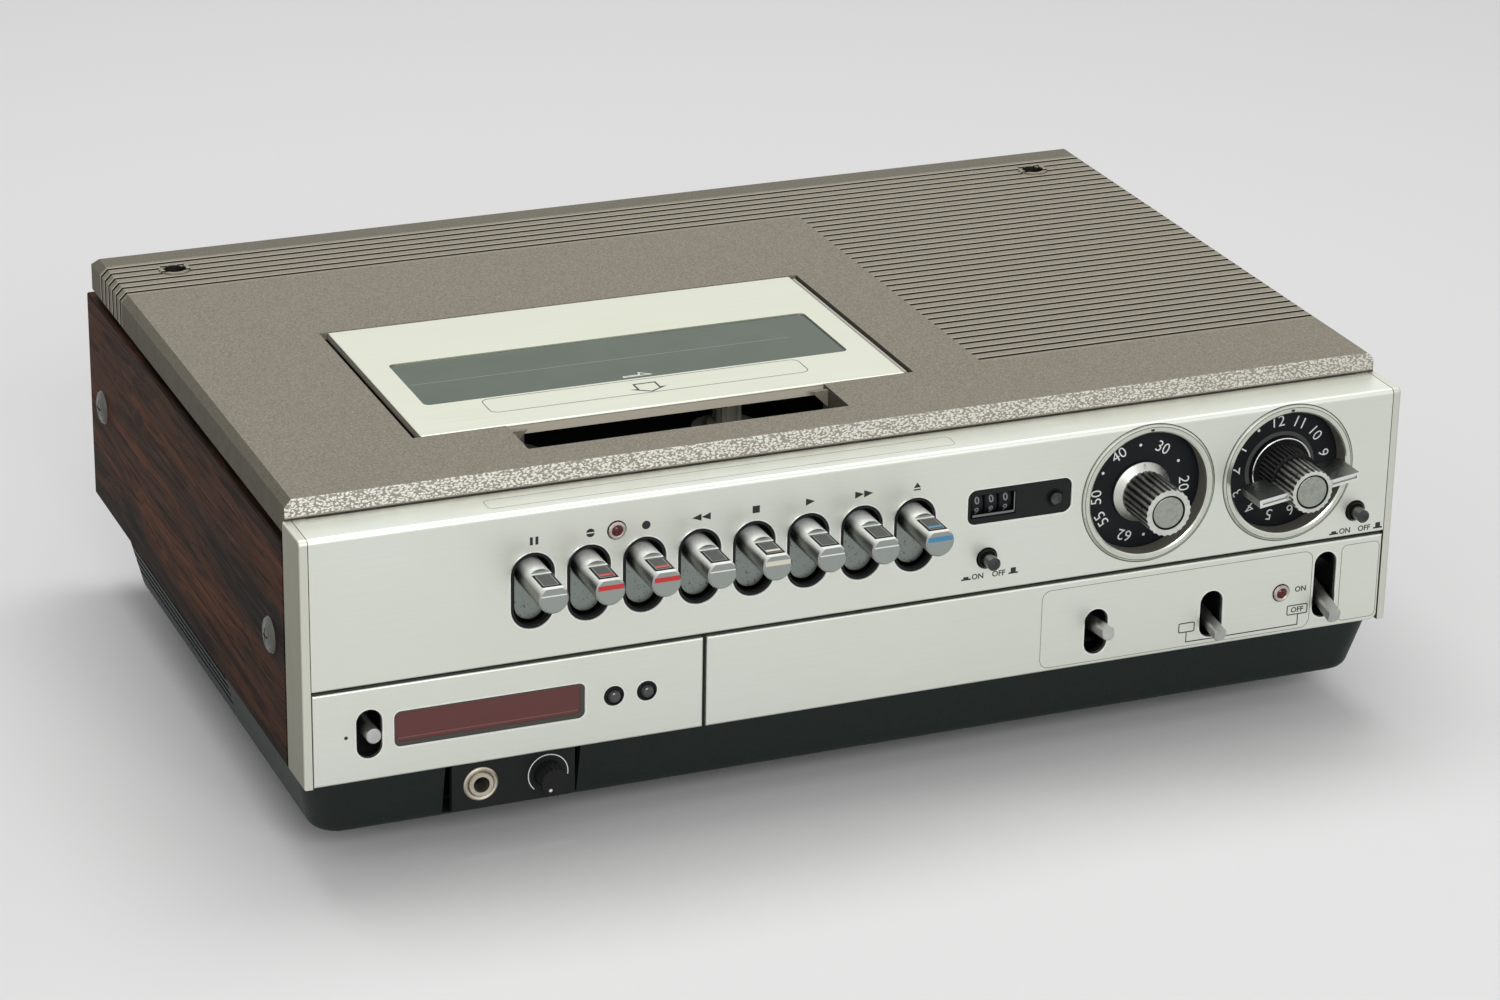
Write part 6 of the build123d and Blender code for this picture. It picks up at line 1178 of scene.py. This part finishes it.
ledge_grey = ink("counter_ledge_grey", (0.15, 0.16, 0.16), 0.3, 0.3)
ledge = [
    lay(slab(17.6, 0.9, 0.2, 0.25, 0.1), 50.1, 1.0, 70.6),
    lay(slab(0.5, 8.0, 0.2, 0.25, 0.1), 58.9, 1.0, 74.6),
]
piece("ledge_counter", ledge, ledge_grey)
well = turned([(2.55, 0.0), (3.6, 0.0), (3.6, 0.1), (3.2, 0.22), (2.55, 0.1)], steps=48)
mark("well_reset", well, 75.8, COUNTER_FACE, 74.0, pad_black)
print("counter digits wrapped")

# %% [markdown]
# ## Lamps and buttons
# Each indicator has a small bevelled bezel, and each push button a glossy black collar. The
# two clock buttons also have a domed top.

# %% Lamp bezels and button collars
LAMPS = {"record": (-104.3, 86.5), "timer": (178.1, 18.4)}
BUTTONS = {"hour": (-105.1, 19.1), "minute": (-91.9, 19.1), "search": (47.7, 52.8), "aft": (209.2, 49.5)}
CLOCK_BUTTONS = ("hour", "minute")
COLLAR_FACE = -0.42
DOME_FACE = -1.12
BEZEL = [(2.15, -0.4), (3.5, -0.4), (3.5, 0.1), (3.1, 0.6), (2.5, 0.66), (2.15, 0.35)]
COLLAR = [(2.95, 0.0), (3.75, 0.0), (3.75, 0.15), (3.5, 0.5), (3.2, 0.55), (2.95, 0.3)]
DOME = [(0.0, 0.0), (2.15, 0.0), (2.1, 0.3), (1.75, 0.62), (1.1, 0.8), (0.0, 0.86)]
rosy = metal("lamp_bezel", (0.52, 0.46, 0.42), 0.25, 500.0, hollows=0.0)
for name, (x, height) in LAMPS.items():
    bezel = turned(BEZEL, steps=12)
    mark("bezel_lamp_" + name, bezel, x, COLLAR_FACE, height, rosy)
shiny = moulded_black("button_dome_black", (0.022, 0.024, 0.024), 0.12, 1500.0, 0.000005, 0.02, 0.9)
gloss = moulded_black("collar_gloss_black", (0.006, 0.006, 0.006), 0.18, 1500.0, 0.00001, 0.05)
for name, (x, height) in BUTTONS.items():
    mark("collar_" + name, turned(COLLAR), x, COLLAR_FACE, height, gloss)
for name in CLOCK_BUTTONS:
    x, height = BUTTONS[name]
    dome = turned(DOME, steps=48)
    mark("dome_" + name, dome, x, DOME_FACE, height, shiny, name + "_button")
print("lamp bezels and collars laid")

# %% [markdown]
# The clock lies behind a dark red pane in a grey wall, with a faint line where its shelf
# shows through. The tracking knob sits in a printed arc, with a dot on its rim.

# %% Clock frame and tracking marks
CLOCK = (-154.0, 19.1)
PANE_FACE = 0.6
wall_grey = moulded_black("clock_wall_grey", (0.065, 0.062, 0.054), 0.4, 1500.0, 0.00001, 0.05)
frame_line = sheet(box_round(74.4, 14.1, 2.4), moved(box_round(72.1, 11.8, 1.8), -0.6, 0.6), thickness=0.2)
mark("frame_clock", frame_line, CLOCK[0], PANE_FACE, CLOCK[1], wall_grey)
rose_line = ink("clock_shelf_line", (0.20, 0.075, 0.07), 0.3, 0.2)
shelf = sheet(box_round(70.5, 0.35), thickness=0.08)
mark("shelf_clock", shelf, -154.6, PANE_FACE, 15.3, rose_line)
TRACK = (-130.3, -10.4)
TRACK_ARC = 7.9
TRACK_DOT = 3.6
ARC_DEPTH = 3.0
KNOB_FACE = -4.9
DOT_TURN = math.radians(-120)
arc = [(TRACK_ARC * math.sin(math.radians(a)), TRACK_ARC * math.cos(math.radians(a)))
       for a in range(-135, 136, 6)]
mark("arc_tracking", sheet(stroke(arc, 0.35)), TRACK[0], ARC_DEPTH, TRACK[1], white_ink)
dot_x = TRACK[0] + TRACK_DOT * math.cos(DOT_TURN)
dot_height = TRACK[1] + TRACK_DOT * math.sin(DOT_TURN)
dot = sheet(disc(0.7, 20))
mark("dot_tracking", dot, dot_x, KNOB_FACE, dot_height, white_ink, "tracking_knob")
print("clock frame and tracking marks laid")

# %% [markdown]
# The openings in the panels were cut after brushing, so each has a thin bright edge.

# %% Bright edges of the openings
RIM_OUT = 0.62
RIM_WIDTH = 0.42


def bright_rim(width, height, radius):
    """The bright line just outside an opening of this size."""
    edge = box_round(width + 2 * RIM_OUT, height + 2 * RIM_OUT, radius + RIM_OUT, 10)
    return sheet(*outline(edge, RIM_WIDTH))


LEVER_SLOTS = ((-201.0, 19.0, 19.7), (96.3, 14.2, 19.1), (147.1, 14.0, 19.7), (197.6, 19.1, 28.3))
RIMS = {
    "key_slots": [lay(bright_rim(17.0, 30.4, 8.49), KEY_FIRST + KEY_PITCH * place, 0, 66.9)
                  for place in range(len(SYMBOLS))],
    "lever_slots": [lay(bright_rim(9.8, tall, 4.89), x, 0, middle) for x, middle, tall in LEVER_SLOTS],
    "windows": [lay(bright_rim(74.6, 14.3, 2.5), CLOCK[0], 0, CLOCK[1]),
                lay(bright_rim(43.8, 14.2, 3.4), 60.9, 0, 74.4)],
    "buttons": [lay(sheet(disc(4.5, 40), disc(4.1, 40)), BUTTONS[name][0], 0, BUTTONS[name][1])
                for name in CLOCK_BUTTONS],
}
for name, flats in RIMS.items():
    piece("rims_" + name, flats, bright)
print("bright edges laid")

# %% [markdown]
# ## Lid marks
# A thin frame runs along the front of the lid, with an arrow that says where to press. Lid,
# window and tray move together, so everything laid on them rides on the carriage.

# %% Frame and arrow
ARROW = [(-4.8, 4.9), (-4.8, -0.6), (-7.3, -0.6), (0.0, -4.9), (7.3, -0.6), (4.8, -0.6), (4.8, 4.9)]
band = sheet(*outline(box_round(131.8, 14.8, 3.5), 0.42))
mark("outline_lid", band, -60.4, 84.3, COVER_TOP, grey_ink, "carriage", TOP)
arrow = sheet(*outline(ARROW, 0.75), thickness=0.07)
mark("arrow_lid", arrow, -60.5, 82.5, COVER_TOP, dark_ink, "carriage", TOP)
print("lid marks laid")

# %% [markdown]
# On the right the folded edge of the cassette tray shows as a pale line beside the lid. The
# window has a thin dark shade along its right and rear sides, a hairline and a half arrow.
# Paler raised rings lie round the two screws of the cover.

# %% Tray edge, window marks and screw rings
BAY_X = -59.7
RIM_BACK = 180.0
RIM_LENGTH = 114.0
TRAY_FOLD = [(97.0, 103.4), (101.7, 103.4), (101.7, 106.2), (101.4, 106.6), (100.7, 106.6), (100.4, 106.2),
             (100.4, 104.2), (97.0, 104.2)]
rim_grey = ink("tray_rim_grey", (0.44, 0.43, 0.38), 0.45, 0.2)
fold = sheet(TRAY_FOLD, thickness=RIM_LENGTH)
mark("rim_tray", fold, BAY_X, RIM_BACK, 0, rim_grey, "carriage")
PANE_TOP = 106.7
WINDOW_MIDDLE = 116.25
pane = box_round(175.6, 45.9, 2.2, 6)
shade = sheet(stroke(pane[21:28] + pane[0:7], 0.8))
mark("shade_window", shade, BAY_X, WINDOW_MIDDLE, PANE_TOP, dark_ink, "carriage", TOP)
window_line = ink("window_hairline", (0.21, 0.235, 0.20), 0.3, 0.2)
hairline = sheet(box_round(159.0, 0.45))
mark("hairline_window", hairline, -66.5, 116.6, PANE_TOP, window_line, "carriage", TOP)
HALF_ARROW = [(-6.2, -1.6), (6.2, -1.3), (1.0, 2.4), (0.6, 0.0), (-6.2, 0.0)]
half_arrow = sheet(*outline(HALF_ARROW, 0.6))
mark("arrow_window", half_arrow, -59.2, 98.0, PANE_TOP, pale_line, "carriage", TOP)
SCREW_RING = [(4.8, -0.02), (6.3, -0.02), (6.1, 0.16), (5.3, 0.22), (4.8, 0.05)]
pale_taupe = ink("cover_taupe_rubbed", (0.27, 0.247, 0.20), 0.5, 0.35)
holes = [lay(turned(SCREW_RING, steps=56), x, SCREW_DEPTH, COVER_TOP, facing=TOP) for x in SCREW_X]
piece("rims_cover_screws", holes, pale_taupe)
print("tray edge, window marks and screw rings laid")
